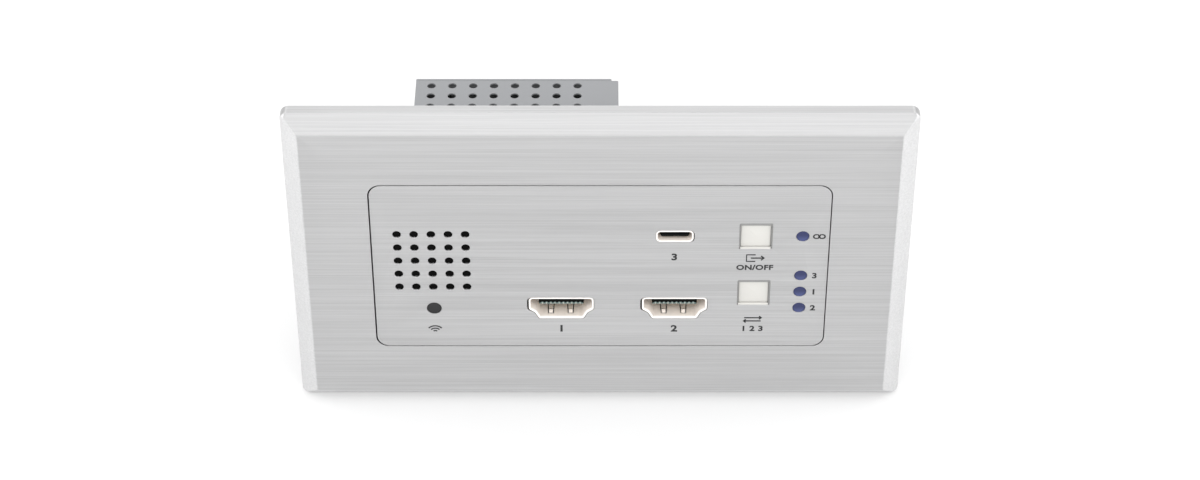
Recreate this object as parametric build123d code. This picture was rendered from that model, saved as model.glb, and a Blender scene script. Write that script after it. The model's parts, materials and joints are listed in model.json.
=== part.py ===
from build123d import *
import os
from math import atan2, cos, degrees, pi, radians, sin, sqrt

# A double wall plate that sends video over a network cable. In front it has two video
# sockets, a type-C socket, two push buttons and four lamps. Behind it a vented box and a
# shallow connector box go into the wall box.
# Millimetres. +X is to the right seen from the room, +Y goes into the wall, +Z is up.
# The origin is midway between the two fixing screws, in the plane of the wall.

# Fixing screws of a double wall box, and what lies beside them
screw_spacing = 120.6
screw_to_edge = 12.7
screw_to_panel = 6.85
screw_slot_width = 4.2
screw_slot_length = 8.0

# Clip-on surround with bevelled edges
plate_height = 86.0
plate_depth = 6.4
rim_depth = 2.7
bevel_width = 4.05
surround_corner_radius = 1.4
surround_rim_wall = 1.6
surround_face_wall = 1.8
collar_wall = 1.0
seam_width = 0.3

# Insert panel that carries the controls
panel_height = 48.9
panel_thickness = 1.8
panel_corner_radius = 2.85
upper_row_z = 9.5
lower_row_z = -12.6

# Air grille and the dust filter behind it
grille_inset = 13.95
grille_z = 2.1
grille_hole_radius = 1.0
grille_pitch = 4.0
grille_count = 5
filter_margin = 1.6
filter_thickness = 0.8

# Window and receiver for the remote control
window_radius = 1.72
window_flange_radius = 2.4
flange_thickness = 0.7
receiver_width = 5.0
receiver_height = 4.8
receiver_depth = 3.4
receiver_dome_radius = 1.9
receiver_dome_degrees = 75
lead_width = 0.5
lead_pitch = 1.27
lead_count = 3

# Lamps: light pipes in the panel, and the diodes behind them
lamp_inset = 6.1
lamp_radius = 1.5
lamp_flange_radius = 2.1
lamp_tail_radius = 1.3
lamp_group_top_z = -2.45
lamp_pitch = 5.0
diode_width = 3.5
diode_height = 2.8
diode_depth = 1.9
diode_clearance = 0.3

# Push buttons and their switches
button_to_lamp = 10.95
lower_button_z = -7.75
button_opening = 7.75
button_side_gap = 0.35
button_recess = 0.65
button_travel = 0.6
button_play = 0.15
button_edge_radius = 0.35
button_face_wall = 1.1
button_skirt_wall = 0.9
button_flange_width = 9.0
button_flange_thickness = 0.8
button_boss_radius = 1.9
button_under_gap = 0.35
guide_side_gap = 0.25
guide_wall = 1.3
guide_thickness = 1.6
switch_width = 6.2
switch_depth = 3.5
plunger_radius = 1.7
plunger_gap = 0.1
plunger_reach = 1.2

# Video sockets, wide above and drawn in below
video_to_lamp = 29.65
video_pitch = 26.95
video_width = 15.45
video_height = 6.45
video_shoulder = 3.8
video_foot_width = 11.05
video_corner = 0.55
video_wall = 0.45
video_cutout_gap = 0.3
video_cutout_shift = -0.15
video_tongue_width = 10.7
video_tongue_thickness = 1.35
video_tongue_drop = 0.95
video_tongue_recess = 1.1
video_base_depth = 4.0
video_tab_offset = 2.45
video_tab_width = 1.1
video_tab_slit = 0.35
video_tab_length = 5.4
video_tab_front = 1.7
video_tab_rise = 0.5
video_tab_ramp = 1.5
video_tab_lip = 0.17
video_tab_thickness = 0.3
video_contact_pitch = 1.0
video_contact_width = 0.45
video_contact_thickness = 0.12
video_contact_setback = 0.5
video_upper_contacts = 10
video_lower_contacts = 9

# Type-C socket, a flat slot with round ends
type_c_shift = -0.25
type_c_width = 8.85
type_c_height = 3.5
type_c_wall = 0.4
type_c_cutout_gap = 0.2
type_c_tongue_width = 6.7
type_c_tongue_thickness = 0.7
type_c_tongue_recess = 0.5
type_c_base_depth = 5.0
type_c_contact_pitch = 0.5
type_c_contact_width = 0.28
type_c_contact_thickness = 0.08
type_c_contact_setback = 0.35
type_c_contacts_per_side = 12

# Steel mounting plate with the catches of the surround
mount_margin = 6.0
mount_thickness = 1.5
mount_corner_radius = 3.0
mount_window_gap = 1.5
catch_x = 40.0
catch_width = 12.0
catch_height = 2.4
catch_slot_height = 1.3
catch_slot_extra = 0.6
clip_thickness = 0.6
clip_width = 10.0
clip_foot = 4.0
clip_reach = 2.9
clip_bead_radius = 0.45

# Posts and small screws
panel_post_inset = 3.6
panel_post_flats = 4.5
small_screw_radius = 1.2
small_head_radius = 2.1
small_head_height = 1.3
small_head_bevel = 0.35
small_head_rim = 0.65
flat_head_radius = 2.2
flat_head_depth = 1.0
screw_clearance = 0.1
thread_clearance = 0.04
thread_depth = 2.6
post_flats = 5.0
post_inset = 3.7
outer_post_inset = 6.2
inner_post_inset = 6.0
far_post_gap = 0.5

# Circuit boards
board_thickness = 1.6
board_clearance = 0.8
control_board_thickness = 1.2
control_board_side = 3.6
control_board_left = 4.6
control_board_top = 5.0
control_board_bottom = 4.2
control_spacer_length = 4.6
control_spacer_radius = 2.0
control_screw_gap = 0.3
link_plug_size = (10.2, 2.6)
stack_height = 7.8

# Vented box, deep, on the left behind the plate
vented_inset = 9.25
vented_width = 48.6
housing_height = 52.0
housing_depth = 33.3
sheet_thickness = 1.0
fold_radius = 0.5
flange_height = 7.0
cover_thickness = 0.75
cover_setback = 1.65
lip_depth = 6.0
vent_radius = 1.02
vent_pitch_across = 5.0
vent_pitch_deep = 4.05
vent_first_across = 3.8
vent_first_deep = 2.85
vent_columns = 8
vent_rows = 4
lower_vent_width = 2.4
lower_vent_length = 16.0
lower_vent_corner = 0.8

# Connector box, shallow, on the right behind the plate
connector_overhang = 0.75
connector_depth = 20.5
cutout_gap = 0.3

# Network jack
jack_inset = 12.1
jack_z = -13.0
jack_width = 16.0
jack_height = 13.6
jack_wall = 0.4
jack_proud = 0.5
jack_recess = 0.4
jack_socket_width = 11.9
jack_socket_height = 6.9
jack_floor = 2.4
jack_socket_rise = 1.2
jack_latch_width = 6.2
jack_latch_height = 1.7
jack_key_width = 3.4
jack_key_height = 1.4
jack_contact_count = 8
jack_contact_pitch = 1.02
jack_contact_width = 0.45
jack_contact_thickness = 0.3
jack_contact_rest = 2.5
jack_contact_drop = 1.7
jack_contact_gap = 2.1

# Green headers for plug-in screw terminals
header_x_from_jack = 21.0
power_header_z = -14.0
control_header_drop = 17.8
header_pitch = 3.81
header_height = 7.2
header_wall = 0.8
header_end = 1.3
header_proud = 0.3
header_floor = 4.2
header_pin_width = 1.0
header_pin_setback = 1.8
power_poles = 2
control_poles = 3

# Earth screw on the connector box
earth_z = 17.0
earth_screw_radius = 1.9
earth_head_radius = 3.6
earth_head_height = 2.2
earth_head_bevel = 0.7
earth_washer_radius = 4.4
earth_washer_thickness = 0.8
earth_nut_flats = 7.0
earth_nut_height = 2.6

# Parts on the boards: width along X, height along Z and depth along Y
video_chip_size = (12.0, 12.0, 1.2)
video_chip_z = 4.0
magnetics_size = (16.0, 7.5, 5.0)
magnetics_drop = 7.9
magnetics_shift = 2.4
inductor_size = (12.0, 12.0, 5.8)
inductor_drop = 13.0
capacitor_radius = 3.15
capacitor_height = 7.0
capacitor_bevel = 0.6
capacitor_pitch = 7.6
capacitor_count = 3
board_link_size = (22.0, 5.0)
board_link_drop = 6.3
encoder_size = (15.0, 15.0, 1.4)
thermal_pad_size = (14.0, 14.0)
thermal_pad_thickness = 0.5
sink_side_margin = 7.3
sink_end_margin = 8.5
sink_base_thickness = 2.0
fin_thickness = 1.0
fin_count = 9
fin_end_gap = 0.6

# How far a cut runs past a face, and the clearance of a piece pressed into a pocket
overrun = 1.0
fit_gap = 0.05

# Small round forms are many-sided, so that the many of them stay light
round_sides = 16
hole_sides = 10
screw_sides = 8
vent_sides = 8
dome_steps = 3

# Sizes that follow from the ones above
plate_width = screw_spacing + 2 * screw_to_edge
panel_width = screw_spacing - 2 * screw_to_panel
bevel_depth = plate_depth - rim_depth
front_y = -plate_depth
panel_back_y = front_y + panel_thickness
mount_front_y = -mount_thickness
mount_width = plate_width - 2 * mount_margin
mount_height = plate_height - 2 * mount_margin

grille_x = -panel_width / 2 + grille_inset
lamp_x = panel_width / 2 - lamp_inset
button_x = lamp_x - button_to_lamp
video_2_x = lamp_x - video_to_lamp
video_1_x = video_2_x - video_pitch
type_c_x = video_2_x + type_c_shift

cap_width = button_opening - 2 * button_side_gap
cap_front_y = front_y + button_recess
cap_flange_front_y = panel_back_y + button_play
cap_back_y = cap_flange_front_y + button_flange_thickness
switch_front_y = cap_back_y + button_travel + button_under_gap
control_front_y = switch_front_y + switch_depth
control_back_y = control_front_y + control_board_thickness
main_front_y = control_back_y + control_spacer_length
main_back_y = main_front_y + board_thickness
stack_front_y = main_back_y + stack_height
stack_back_y = stack_front_y + board_thickness

vented_left = -panel_width / 2 + vented_inset
vented_right = vented_left + vented_width
connector_right = panel_width / 2 + connector_overhang
inner_half_height = housing_height / 2 - sheet_thickness
vented_end_y = housing_depth - cover_thickness
board_left = vented_left + sheet_thickness + board_clearance
board_right = connector_right - sheet_thickness - board_clearance
stack_right = vented_right - sheet_thickness - board_clearance
board_half_height = inner_half_height - board_clearance
post_z = inner_half_height - post_inset
outer_post_x = vented_left + sheet_thickness + outer_post_inset
inner_post_x = vented_right - inner_post_inset

control_left = button_x - control_board_left
far_post_x = control_left - post_flats / sqrt(3) - far_post_gap
control_right = lamp_x + control_board_side
control_top = upper_row_z + control_board_top
control_bottom = lower_row_z - control_board_bottom

jack_x = vented_right + jack_inset
header_x = jack_x + header_x_from_jack
control_header_z = post_z - control_header_drop
sink_x = (outer_post_x + inner_post_x) / 2

lamp_places = {
    "link": upper_row_z,
    "type_c": lamp_group_top_z,
    "video_1": lamp_group_top_z - lamp_pitch,
    "video_2": lamp_group_top_z - 2 * lamp_pitch,
}
button_places = {"output": upper_row_z, "auto": lower_button_z}
video_places = {"video_in_1": video_1_x, "video_in_2": video_2_x}
control_spacer_inset = small_head_radius + control_screw_gap
control_spacer_x = lamp_x - diode_width / 2 - control_spacer_inset
control_spacer_places = [
    (control_left + control_spacer_inset, control_bottom + control_spacer_inset),
    (control_spacer_x, control_top - control_spacer_inset),
    (control_spacer_x, control_bottom + control_spacer_inset),
]


def facing(y):
    """A drawing plane parallel to the wall, seen from the room."""
    return Plane(origin=(0, y, 0), x_dir=(1, 0, 0), z_dir=(0, -1, 0))


def slab(outline, y_front, y_back):
    """An outline seen from the room, made solid between two depths."""
    return extrude(facing(y_back) * outline, amount=y_back - y_front)


def block(x_span, y_span, z_span):
    """A box from its spans along X, Y and Z."""
    spans = (x_span, y_span, z_span)
    sizes = [high - low for low, high in spans]
    return Pos(*[low for low, high in spans]) * Box(*sizes, align=(Align.MIN,) * 3)


def corners(radius, sides):
    """The corners of a many-sided round outline, as (x, z)."""
    turns = [2 * pi * index / sides for index in range(sides)]
    return [(radius * cos(turn), radius * sin(turn)) for turn in turns]


def many_sided(radius, sides):
    """A small round outline with this many sides."""
    return Polygon(*corners(radius, sides), align=None)


def frustum(front_radius, back_radius, y_front, y_back, sides):
    """A many-sided cone without its tip, with flat sides."""
    front = [(x, y_front, z) for x, z in corners(front_radius, sides)]
    back = [(x, y_back, z) for x, z in corners(back_radius, sides)]
    outlines = [front, back]
    for index in range(sides):
        outlines.append([front[index - 1], front[index], back[index], back[index - 1]])
    return Solid(Shell([Face(Wire.make_polygon(outline)) for outline in outlines]))


def rod(radius, y_front, y_back, x, z, sides=screw_sides):
    """A small round bar that points into the wall."""
    return slab(Pos(x, z) * many_sided(radius, sides), y_front, y_back)


def turned(outline, x, z, sides=screw_sides):
    """A small round piece on an axis into the wall: its (radius, y) outline in order of y."""
    piece = Part()
    for (front_radius, y_front), (back_radius, y_back) in zip(outline, outline[1:]):
        if y_back > y_front and front_radius == back_radius:
            piece += rod(front_radius, y_front, y_back, 0, 0, sides)
        elif y_back > y_front:
            piece += frustum(front_radius, back_radius, y_front, y_back, sides)
    return Pos(x, 0, z) * piece


def bevelled(outline, inset, y_back, y_front):
    """An outline that draws in by an inset on its way to the room."""
    depth = y_back - y_front
    return extrude(facing(y_back) * outline, amount=depth, taper=degrees(atan2(inset, depth)))


def mirrored_points(x, z):
    """Four points, one in each quarter."""
    return [(side * x, level * z) for side in (-1, 1) for level in (-1, 1)]


def along(y_values):
    """Which way a row of depths runs: into the wall, or towards the room."""
    return 1 if y_values[-1] > y_values[0] else -1


def in_order(outline):
    """A (radius, y) outline sorted to run into the wall."""
    return outline if along([y for radius, y in outline]) > 0 else outline[::-1]


def pan_screw(x, z, seat_y, tip_y):
    """A small screw with a raised head on its seat."""
    toward = along((seat_y, tip_y))
    head_y = seat_y - toward * small_head_height
    rim_y = seat_y - toward * small_head_rim
    outline = [
        (small_head_radius - small_head_bevel, head_y),
        (small_head_radius, rim_y),
        (small_head_radius, seat_y),
        (small_screw_radius, seat_y),
        (small_screw_radius, tip_y),
    ]
    return turned(in_order(outline), x, z)


def flat_screw(x, z, face_y, tip_y):
    """A small screw whose cone sits flush in a countersink."""
    cone_y = face_y + along((face_y, tip_y)) * flat_head_depth
    outline = [
        (flat_head_radius, face_y),
        (small_screw_radius, cone_y),
        (small_screw_radius, tip_y),
    ]
    return turned(in_order(outline), x, z)


def countersink(x, z, face_y, through_y):
    """The hole for a flat screw."""
    toward = along((face_y, through_y))
    grow = screw_clearance
    outline = [
        (flat_head_radius + grow, face_y - toward * overrun),
        (flat_head_radius + grow, face_y),
        (small_screw_radius + grow, face_y + toward * flat_head_depth),
        (small_screw_radius + grow, through_y + toward * overrun),
    ]
    return turned(in_order(outline), x, z)


def screw_hole(x, z, y_front, y_back):
    """A clear hole for a small screw through a sheet or a board."""
    return rod(small_screw_radius + screw_clearance, y_front - overrun, y_back + overrun, x, z)


def threaded_hole(x, z, mouth_y, end_y):
    """A blind or open bore that a small screw turns into."""
    return rod(small_screw_radius + thread_clearance, *sorted((mouth_y, end_y)), x, z)


def hexagon(flats):
    """A hexagon by its width across the flats."""
    return RegularPolygon(flats / 2, 6, major_radius=False)


def row(middle, count, pitch):
    """Evenly spaced places about a middle."""
    return [middle + (index - (count - 1) / 2) * pitch for index in range(count)]


def contact_strips(x, count, pitch, width, y_span, z_span):
    """A row of flat contacts, side by side along X."""
    return [
        block((middle - width / 2, middle + width / 2), y_span, z_span)
        for middle in row(x, count, pitch)
    ]


def make_surround():
    """The hollow surround: straight rim, mitred bevels and a window with a collar."""
    slope = bevel_width / bevel_depth
    shift = surround_rim_wall * sqrt(1 + slope**2)
    turn = rim_depth - (shift - surround_rim_wall) / slope
    cavity_end = plate_depth - surround_face_wall

    def plate_outline(inset):
        return Rectangle(plate_width - 2 * inset, plate_height - 2 * inset)

    body = slab(plate_outline(0), -rim_depth, 0)
    body += bevelled(plate_outline(0), bevel_width, -rim_depth, front_y)
    rounded = RectangleRounded(plate_width, plate_height, surround_corner_radius)
    body &= slab(rounded, front_y, 0)
    cavity = slab(plate_outline(surround_rim_wall), -turn, overrun)
    cavity += bevelled(plate_outline(surround_rim_wall), slope * (cavity_end - turn), -turn, -cavity_end)
    body -= cavity

    opening_width = panel_width + 2 * seam_width
    opening_height = panel_height + 2 * seam_width
    opening_radius = panel_corner_radius + seam_width
    opening = RectangleRounded(opening_width, opening_height, opening_radius)
    collar = RectangleRounded(
        opening_width + 2 * collar_wall,
        opening_height + 2 * collar_wall,
        opening_radius + collar_wall,
    )
    body += slab(collar, -cavity_end, mount_front_y)
    return body - slab(opening, front_y - overrun, overrun)


def catch_span():
    """Where the catches of the mounting plate stand, from inner to outer face."""
    outer = mount_height / 2
    return outer - mount_thickness, outer


def make_surround_clips():
    """Four spring clips under the face of the surround, each beaded to snap in a catch."""
    face_y = front_y + surround_face_wall
    catch_outer = catch_span()[1]
    tip_y = face_y + clip_reach
    bead_y = mount_front_y - catch_height / 2
    outline = Polygon(
        (face_y, catch_outer - clip_foot),
        (face_y, catch_outer + clip_thickness),
        (tip_y, catch_outer + clip_thickness),
        (tip_y, catch_outer),
        (face_y + clip_thickness, catch_outer),
        (face_y + clip_thickness, catch_outer - clip_foot),
    )
    outline += Pos(bead_y, catch_outer) * many_sided(clip_bead_radius, hole_sides)
    clip = extrude(Plane.YZ * outline, amount=clip_width / 2, both=True)
    pairs = [Pos(side * catch_x, 0, 0) * clip for side in (-1, 1)]
    return pairs + [mirror(clip, Plane.XY) for clip in pairs]


def make_mounting_plate():
    """The steel plate that the wall screws hold, with folded catches for the surround."""
    outline = RectangleRounded(mount_width, mount_height, mount_corner_radius)
    window_left = vented_left + sheet_thickness
    window_right = control_right + mount_window_gap
    window_top = control_top + mount_window_gap
    window_bottom = control_bottom - mount_window_gap
    slot = SlotOverall(screw_slot_length, screw_slot_width)
    outline -= [Pos(side * screw_spacing / 2, 0) * slot for side in (-1, 1)]
    plate = slab(outline, mount_front_y, 0)
    plate -= block(
        (window_left, window_right), (mount_front_y - overrun, overrun), (window_bottom, window_top)
    )
    for level in (-1, 1):
        inner, outer = sorted(level * edge for edge in catch_span())
        for side in (-1, 1):
            x = side * catch_x
            tab = (x - catch_width / 2, x + catch_width / 2)
            plate += block(tab, (mount_front_y - catch_height, mount_front_y), (inner, outer))
            slot_half = (clip_width + catch_slot_extra) / 2
            slot_middle = mount_front_y - catch_height / 2
            plate -= block(
                (x - slot_half, x + slot_half),
                (slot_middle - catch_slot_height / 2, slot_middle + catch_slot_height / 2),
                (inner - overrun, outer + overrun),
            )
    for x, z in panel_post_places():
        plate -= countersink(x, z, 0, mount_front_y)
    for x, z in housing_screw_places():
        plate -= rod(small_screw_radius + thread_clearance, mount_front_y - overrun, overrun, x, z)
    return plate


def panel_post_places():
    """The posts in the corners of the panel."""
    return mirrored_points(panel_width / 2 - panel_post_inset, panel_height / 2 - panel_post_inset)


def video_outline(grow):
    """The video socket's outline about its middle, grown by a margin."""
    half, top, foot = video_width / 2, video_height / 2, video_foot_width / 2
    shoulder = top - video_shoulder
    corners = [(-foot, -top), (foot, -top), (half, shoulder), (half, top), (-half, top), (-half, shoulder)]
    outline = Polygon(*corners)
    outline = chamfer(outline.vertices(), video_corner)
    return offset(outline, amount=grow, kind=Kind.INTERSECTION)


def type_c_outline(grow):
    """The type-C socket's outline about its middle, grown by a margin."""
    return SlotOverall(type_c_width + 2 * grow, type_c_height + 2 * grow)


def make_panel():
    """The insert panel with its grille, windows, sockets, button and lamp openings."""
    outline = RectangleRounded(panel_width, panel_height, panel_corner_radius)
    grille = Pos(grille_x, grille_z) * GridLocations(grille_pitch, grille_pitch, grille_count, grille_count)
    outline -= [place * many_sided(grille_hole_radius, hole_sides) for place in grille]
    outline -= Pos(grille_x, lower_row_z) * many_sided(window_radius + fit_gap, round_sides)
    lamp_hole = many_sided(lamp_radius + fit_gap, round_sides)
    outline -= [Pos(lamp_x, z) * lamp_hole for z in lamp_places.values()]
    square = Rectangle(button_opening, button_opening)
    outline -= [Pos(button_x, z) * square for z in button_places.values()]
    for x in video_places.values():
        outline -= Pos(x + video_cutout_shift, lower_row_z) * video_outline(video_cutout_gap)
    outline -= Pos(type_c_x, upper_row_z) * type_c_outline(type_c_cutout_gap)
    return slab(outline, front_y, panel_back_y)


def make_panel_posts():
    """Threaded posts between the panel and the mounting plate."""
    posts = []
    for x, z in panel_post_places():
        post = slab(Pos(x, z) * hexagon(panel_post_flats), panel_back_y, mount_front_y)
        posts.append(post - threaded_hole(x, z, mount_front_y, mount_front_y - thread_depth))
    return posts


def make_panel_screws():
    """Flat screws from behind the mounting plate into the panel posts."""
    tip_y = mount_front_y - thread_depth + fit_gap
    return [flat_screw(x, z, 0, tip_y) for x, z in panel_post_places()]


def make_dust_filter():
    """A square of fine black foam behind the grille."""
    half = (grille_count - 1) / 2 * grille_pitch + grille_hole_radius + filter_margin
    return block(
        (grille_x - half, grille_x + half),
        (panel_back_y, panel_back_y + filter_thickness),
        (grille_z - half, grille_z + half),
    )


def make_remote_window():
    """The dark round window in front of the receiver."""
    outline = [
        (window_radius, front_y),
        (window_radius, panel_back_y),
        (window_flange_radius, panel_back_y),
        (window_flange_radius, panel_back_y + flange_thickness),
    ]
    return turned(outline, grille_x, lower_row_z, round_sides)


def receiver_front_y():
    """The front of the receiver's block, behind its dome and the window."""
    return panel_back_y + flange_thickness + diode_clearance + receiver_dome_radius


def make_remote_receiver():
    """The receiver: a block with a round dome, on three leads from the main board."""
    face_y = receiver_front_y()
    back_y = face_y + receiver_depth
    receiver = block(
        (grille_x - receiver_width / 2, grille_x + receiver_width / 2),
        (face_y, back_y),
        (lower_row_z - receiver_height / 2, lower_row_z + receiver_height / 2),
    )
    dome = []
    for step in range(dome_steps, -1, -1):
        angle = radians(step * receiver_dome_degrees / dome_steps)
        dome.append(
            (receiver_dome_radius * cos(angle), face_y - receiver_dome_radius * sin(angle))
        )
    receiver += turned(dome, grille_x, lower_row_z, round_sides)
    lead_z = (lower_row_z - lead_width / 2, lower_row_z + lead_width / 2)
    leads = contact_strips(
        grille_x, lead_count, lead_pitch, lead_width, (back_y, main_front_y), lead_z
    )
    return receiver + leads


def make_lamp_lens(z):
    """A light pipe pressed into the panel, with a flange behind it."""
    flange_end_y = panel_back_y + flange_thickness
    tail_y = control_front_y - diode_depth - diode_clearance
    head = rod(lamp_radius, front_y, panel_back_y, lamp_x, z, round_sides)
    outline = [
        (lamp_flange_radius, panel_back_y),
        (lamp_flange_radius, flange_end_y),
        (lamp_tail_radius, flange_end_y),
        (lamp_tail_radius, tail_y),
    ]
    return head + turned(outline, lamp_x, z, hole_sides)


def make_lamp_diodes():
    """Four light-emitting diodes on the control board."""
    return [
        block(
            (lamp_x - diode_width / 2, lamp_x + diode_width / 2),
            (control_front_y - diode_depth, control_front_y),
            (z - diode_height / 2, z + diode_height / 2),
        )
        for z in lamp_places.values()
    ]


def make_button_cap(z):
    """A square cap, hollow behind, with a flange that keeps it in and a boss for the plunger."""
    outline = RectangleRounded(cap_width, cap_width, button_edge_radius)
    cap = slab(outline, cap_front_y, cap_back_y)
    flange = Rectangle(button_flange_width, button_flange_width)
    cap += slab(flange, cap_flange_front_y, cap_back_y)
    hollow_width = cap_width - 2 * button_skirt_wall
    hollow = Rectangle(hollow_width, hollow_width) - many_sided(button_boss_radius, hole_sides)
    cap -= slab(hollow, cap_front_y + button_face_wall, cap_back_y + overrun)
    return Pos(button_x, 0, z) * cap


def make_plunger(z):
    """The switch's plunger, from the cap's boss into the switch."""
    return rod(plunger_radius, cap_back_y, switch_front_y + plunger_reach, button_x, z)


def make_switch(z):
    """The body of the push switch, with the bore that its plunger sinks into."""
    half = switch_width / 2
    body = block(
        (button_x - half, button_x + half), (switch_front_y, control_front_y), (z - half, z + half)
    )
    bore_end_y = switch_front_y + plunger_reach + button_travel + button_under_gap
    bore = rod(plunger_radius + plunger_gap, switch_front_y - overrun, bore_end_y, button_x, z)
    return body - bore


def make_button_guide():
    """The dark frame behind the panel that both caps slide in."""
    opening = button_flange_width + 2 * guide_side_gap
    half = opening / 2 + guide_wall
    outline = Polygon(
        (-half, lower_button_z - half),
        (half, lower_button_z - half),
        (half, upper_row_z + half),
        (-half, upper_row_z + half),
    )
    outline -= [Pos(0, z) * Rectangle(opening, opening) for z in button_places.values()]
    return slab(Pos(button_x, 0) * outline, panel_back_y, panel_back_y + guide_thickness)


def video_tab(x):
    """One spring tab of the video socket: a strip that rises to a bump near its front end."""
    floor_z = lower_row_z - video_height / 2
    start_y = front_y + video_tab_front
    end_y = start_y + video_tab_length
    line = [
        (end_y, 0),
        (start_y + video_tab_ramp, video_tab_lip),
        (start_y + video_tab_rise, video_tab_rise),
        (start_y, video_tab_lip),
    ]
    top = [(y, rise + video_tab_thickness) for y, rise in reversed(line)]
    outline = Polygon(*line, *top)
    strip = extrude(Plane.YZ * outline, amount=video_tab_width / 2, both=True)
    return Pos(x, 0, floor_z + (video_wall - video_tab_thickness) / 2) * strip


def make_video_shell(x):
    """The sheet-metal shell of a video socket, with two spring tabs in its floor."""
    outline = Pos(x, lower_row_z) * (video_outline(0) - video_outline(-video_wall))
    shell = slab(outline, front_y, main_front_y)
    floor_z = lower_row_z - video_height / 2
    start_y = front_y + video_tab_front
    for side in (-1, 1):
        tab_x = x + side * video_tab_offset
        half = video_tab_width / 2 + video_tab_slit
        shell -= block(
            (tab_x - half, tab_x + half),
            (start_y - video_tab_slit, start_y + video_tab_length),
            (floor_z - overrun, floor_z + video_wall + video_wall / 2),
        )
        shell += video_tab(tab_x)
    return shell


def video_tongue_span():
    """The lower and upper face of the video socket's tongue."""
    top = lower_row_z + video_height / 2 - video_wall - video_tongue_drop
    return top - video_tongue_thickness, top


def make_video_tongue(x):
    """The plastic tongue of a video socket and the block behind it that fills the shell."""
    low, high = video_tongue_span()
    half = video_tongue_width / 2
    base = slab(
        Pos(x, lower_row_z) * video_outline(-video_wall - fit_gap),
        main_front_y - video_base_depth,
        main_front_y,
    )
    tongue_y = (front_y + video_tongue_recess, main_front_y - video_base_depth)
    return base + block((x - half, x + half), tongue_y, (low, high))


def make_video_contacts(x):
    """Contacts on both faces of the video socket's tongue."""
    low, high = video_tongue_span()
    y_span = (
        front_y + video_tongue_recess + video_contact_setback,
        main_front_y - video_base_depth,
    )
    pitch, width = video_contact_pitch, video_contact_width
    upper_z = (high, high + video_contact_thickness)
    lower_z = (low - video_contact_thickness, low)
    upper = contact_strips(x, video_upper_contacts, pitch, width, y_span, upper_z)
    return upper + contact_strips(x, video_lower_contacts, pitch, width, y_span, lower_z)


def make_type_c_shell():
    """The seamless oval shell of the type-C socket."""
    outline = type_c_outline(0) - type_c_outline(-type_c_wall)
    return slab(Pos(type_c_x, upper_row_z) * outline, front_y, main_front_y)


def make_type_c_tongue():
    """The thin middle tongue of the type-C socket and its base."""
    base = slab(
        Pos(type_c_x, upper_row_z) * type_c_outline(-type_c_wall - fit_gap),
        main_front_y - type_c_base_depth,
        main_front_y,
    )
    half, thin = type_c_tongue_width / 2, type_c_tongue_thickness / 2
    tongue = block(
        (type_c_x - half, type_c_x + half),
        (front_y + type_c_tongue_recess, main_front_y - type_c_base_depth),
        (upper_row_z - thin, upper_row_z + thin),
    )
    return base + tongue


def make_type_c_contacts():
    """Contacts above and below the type-C tongue."""
    thin = type_c_tongue_thickness / 2
    y_span = (
        front_y + type_c_tongue_recess + type_c_contact_setback,
        main_front_y - type_c_base_depth,
    )
    strips = []
    for low in (upper_row_z + thin, upper_row_z - thin - type_c_contact_thickness):
        strips += contact_strips(
            type_c_x,
            type_c_contacts_per_side,
            type_c_contact_pitch,
            type_c_contact_width,
            y_span,
            (low, low + type_c_contact_thickness),
        )
    return strips


def make_control_board():
    """The small board that carries the switches and the lamp diodes."""
    board = block(
        (control_left, control_right),
        (control_front_y, control_back_y),
        (control_bottom, control_top),
    )
    for x, z in control_spacer_places:
        board -= screw_hole(x, z, control_front_y, control_back_y)
    return board


def make_control_spacers():
    """Spacers between the control board and the main board."""
    spacers = []
    for x, z in control_spacer_places:
        spacer = rod(control_spacer_radius, control_back_y, main_front_y, x, z)
        spacers.append(spacer - screw_hole(x, z, control_back_y, main_front_y))
    return spacers


def make_control_plug():
    """The plug-in link from the control board to the main board."""
    width, height = link_plug_size
    z = (upper_row_z + lower_button_z) / 2
    return block(
        (button_x - width / 2, button_x + width / 2),
        (control_back_y, main_front_y),
        (z - height / 2, z + height / 2),
    )


def make_main_board():
    """The main board across both boxes."""
    board = block(
        (board_left, board_right),
        (main_front_y, main_back_y),
        (-board_half_height, board_half_height),
    )
    for x, z in board_post_places() + control_spacer_places:
        board -= screw_hole(x, z, main_front_y, main_back_y)
    return board


def board_post_places():
    """Where posts hold the main board."""
    columns = (outer_post_x, inner_post_x, far_post_x)
    return [(x, level * post_z) for x in columns for level in (-1, 1)]


def stack_post_places():
    """Where posts carry the transmitter board above the main board."""
    return board_post_places()[:4]


def make_board_posts():
    """Hexagonal posts from the mounting plate to the main board."""
    posts = []
    for x, z in board_post_places():
        post = slab(Pos(x, z) * hexagon(post_flats), 0, main_front_y)
        posts.append(post - threaded_hole(x, z, main_front_y + overrun, main_front_y - thread_depth))
    return posts


def make_stack_posts():
    """Hexagonal posts with a stud in front, which clamp the main board and carry the stack."""
    posts = []
    stud_end_y = main_front_y - thread_depth + fit_gap
    for x, z in stack_post_places():
        post = slab(Pos(x, z) * hexagon(post_flats), main_back_y, stack_front_y)
        post += rod(small_screw_radius, stud_end_y, main_back_y, x, z)
        posts.append(post - threaded_hole(x, z, stack_front_y + overrun, stack_front_y - thread_depth))
    return posts


def make_board_screws():
    """Equal screws that hold the control board, the main board and the transmitter board."""
    main_tip_y = main_front_y - thread_depth + fit_gap
    stack_tip_y = stack_front_y - thread_depth + fit_gap
    screws = [pan_screw(x, z, control_front_y, main_back_y) for x, z in control_spacer_places]
    screws += [pan_screw(x, z, main_back_y, main_tip_y) for x, z in board_post_places()[4:]]
    return screws + [pan_screw(x, z, stack_back_y, stack_tip_y) for x, z in stack_post_places()]


def make_transmitter_board():
    """The second board, which turns the video into the signal for the network cable."""
    board = block(
        (board_left, stack_right),
        (stack_front_y, stack_back_y),
        (-board_half_height, board_half_height),
    )
    for x, z in stack_post_places():
        board -= screw_hole(x, z, stack_front_y, stack_back_y)
    return board


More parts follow.
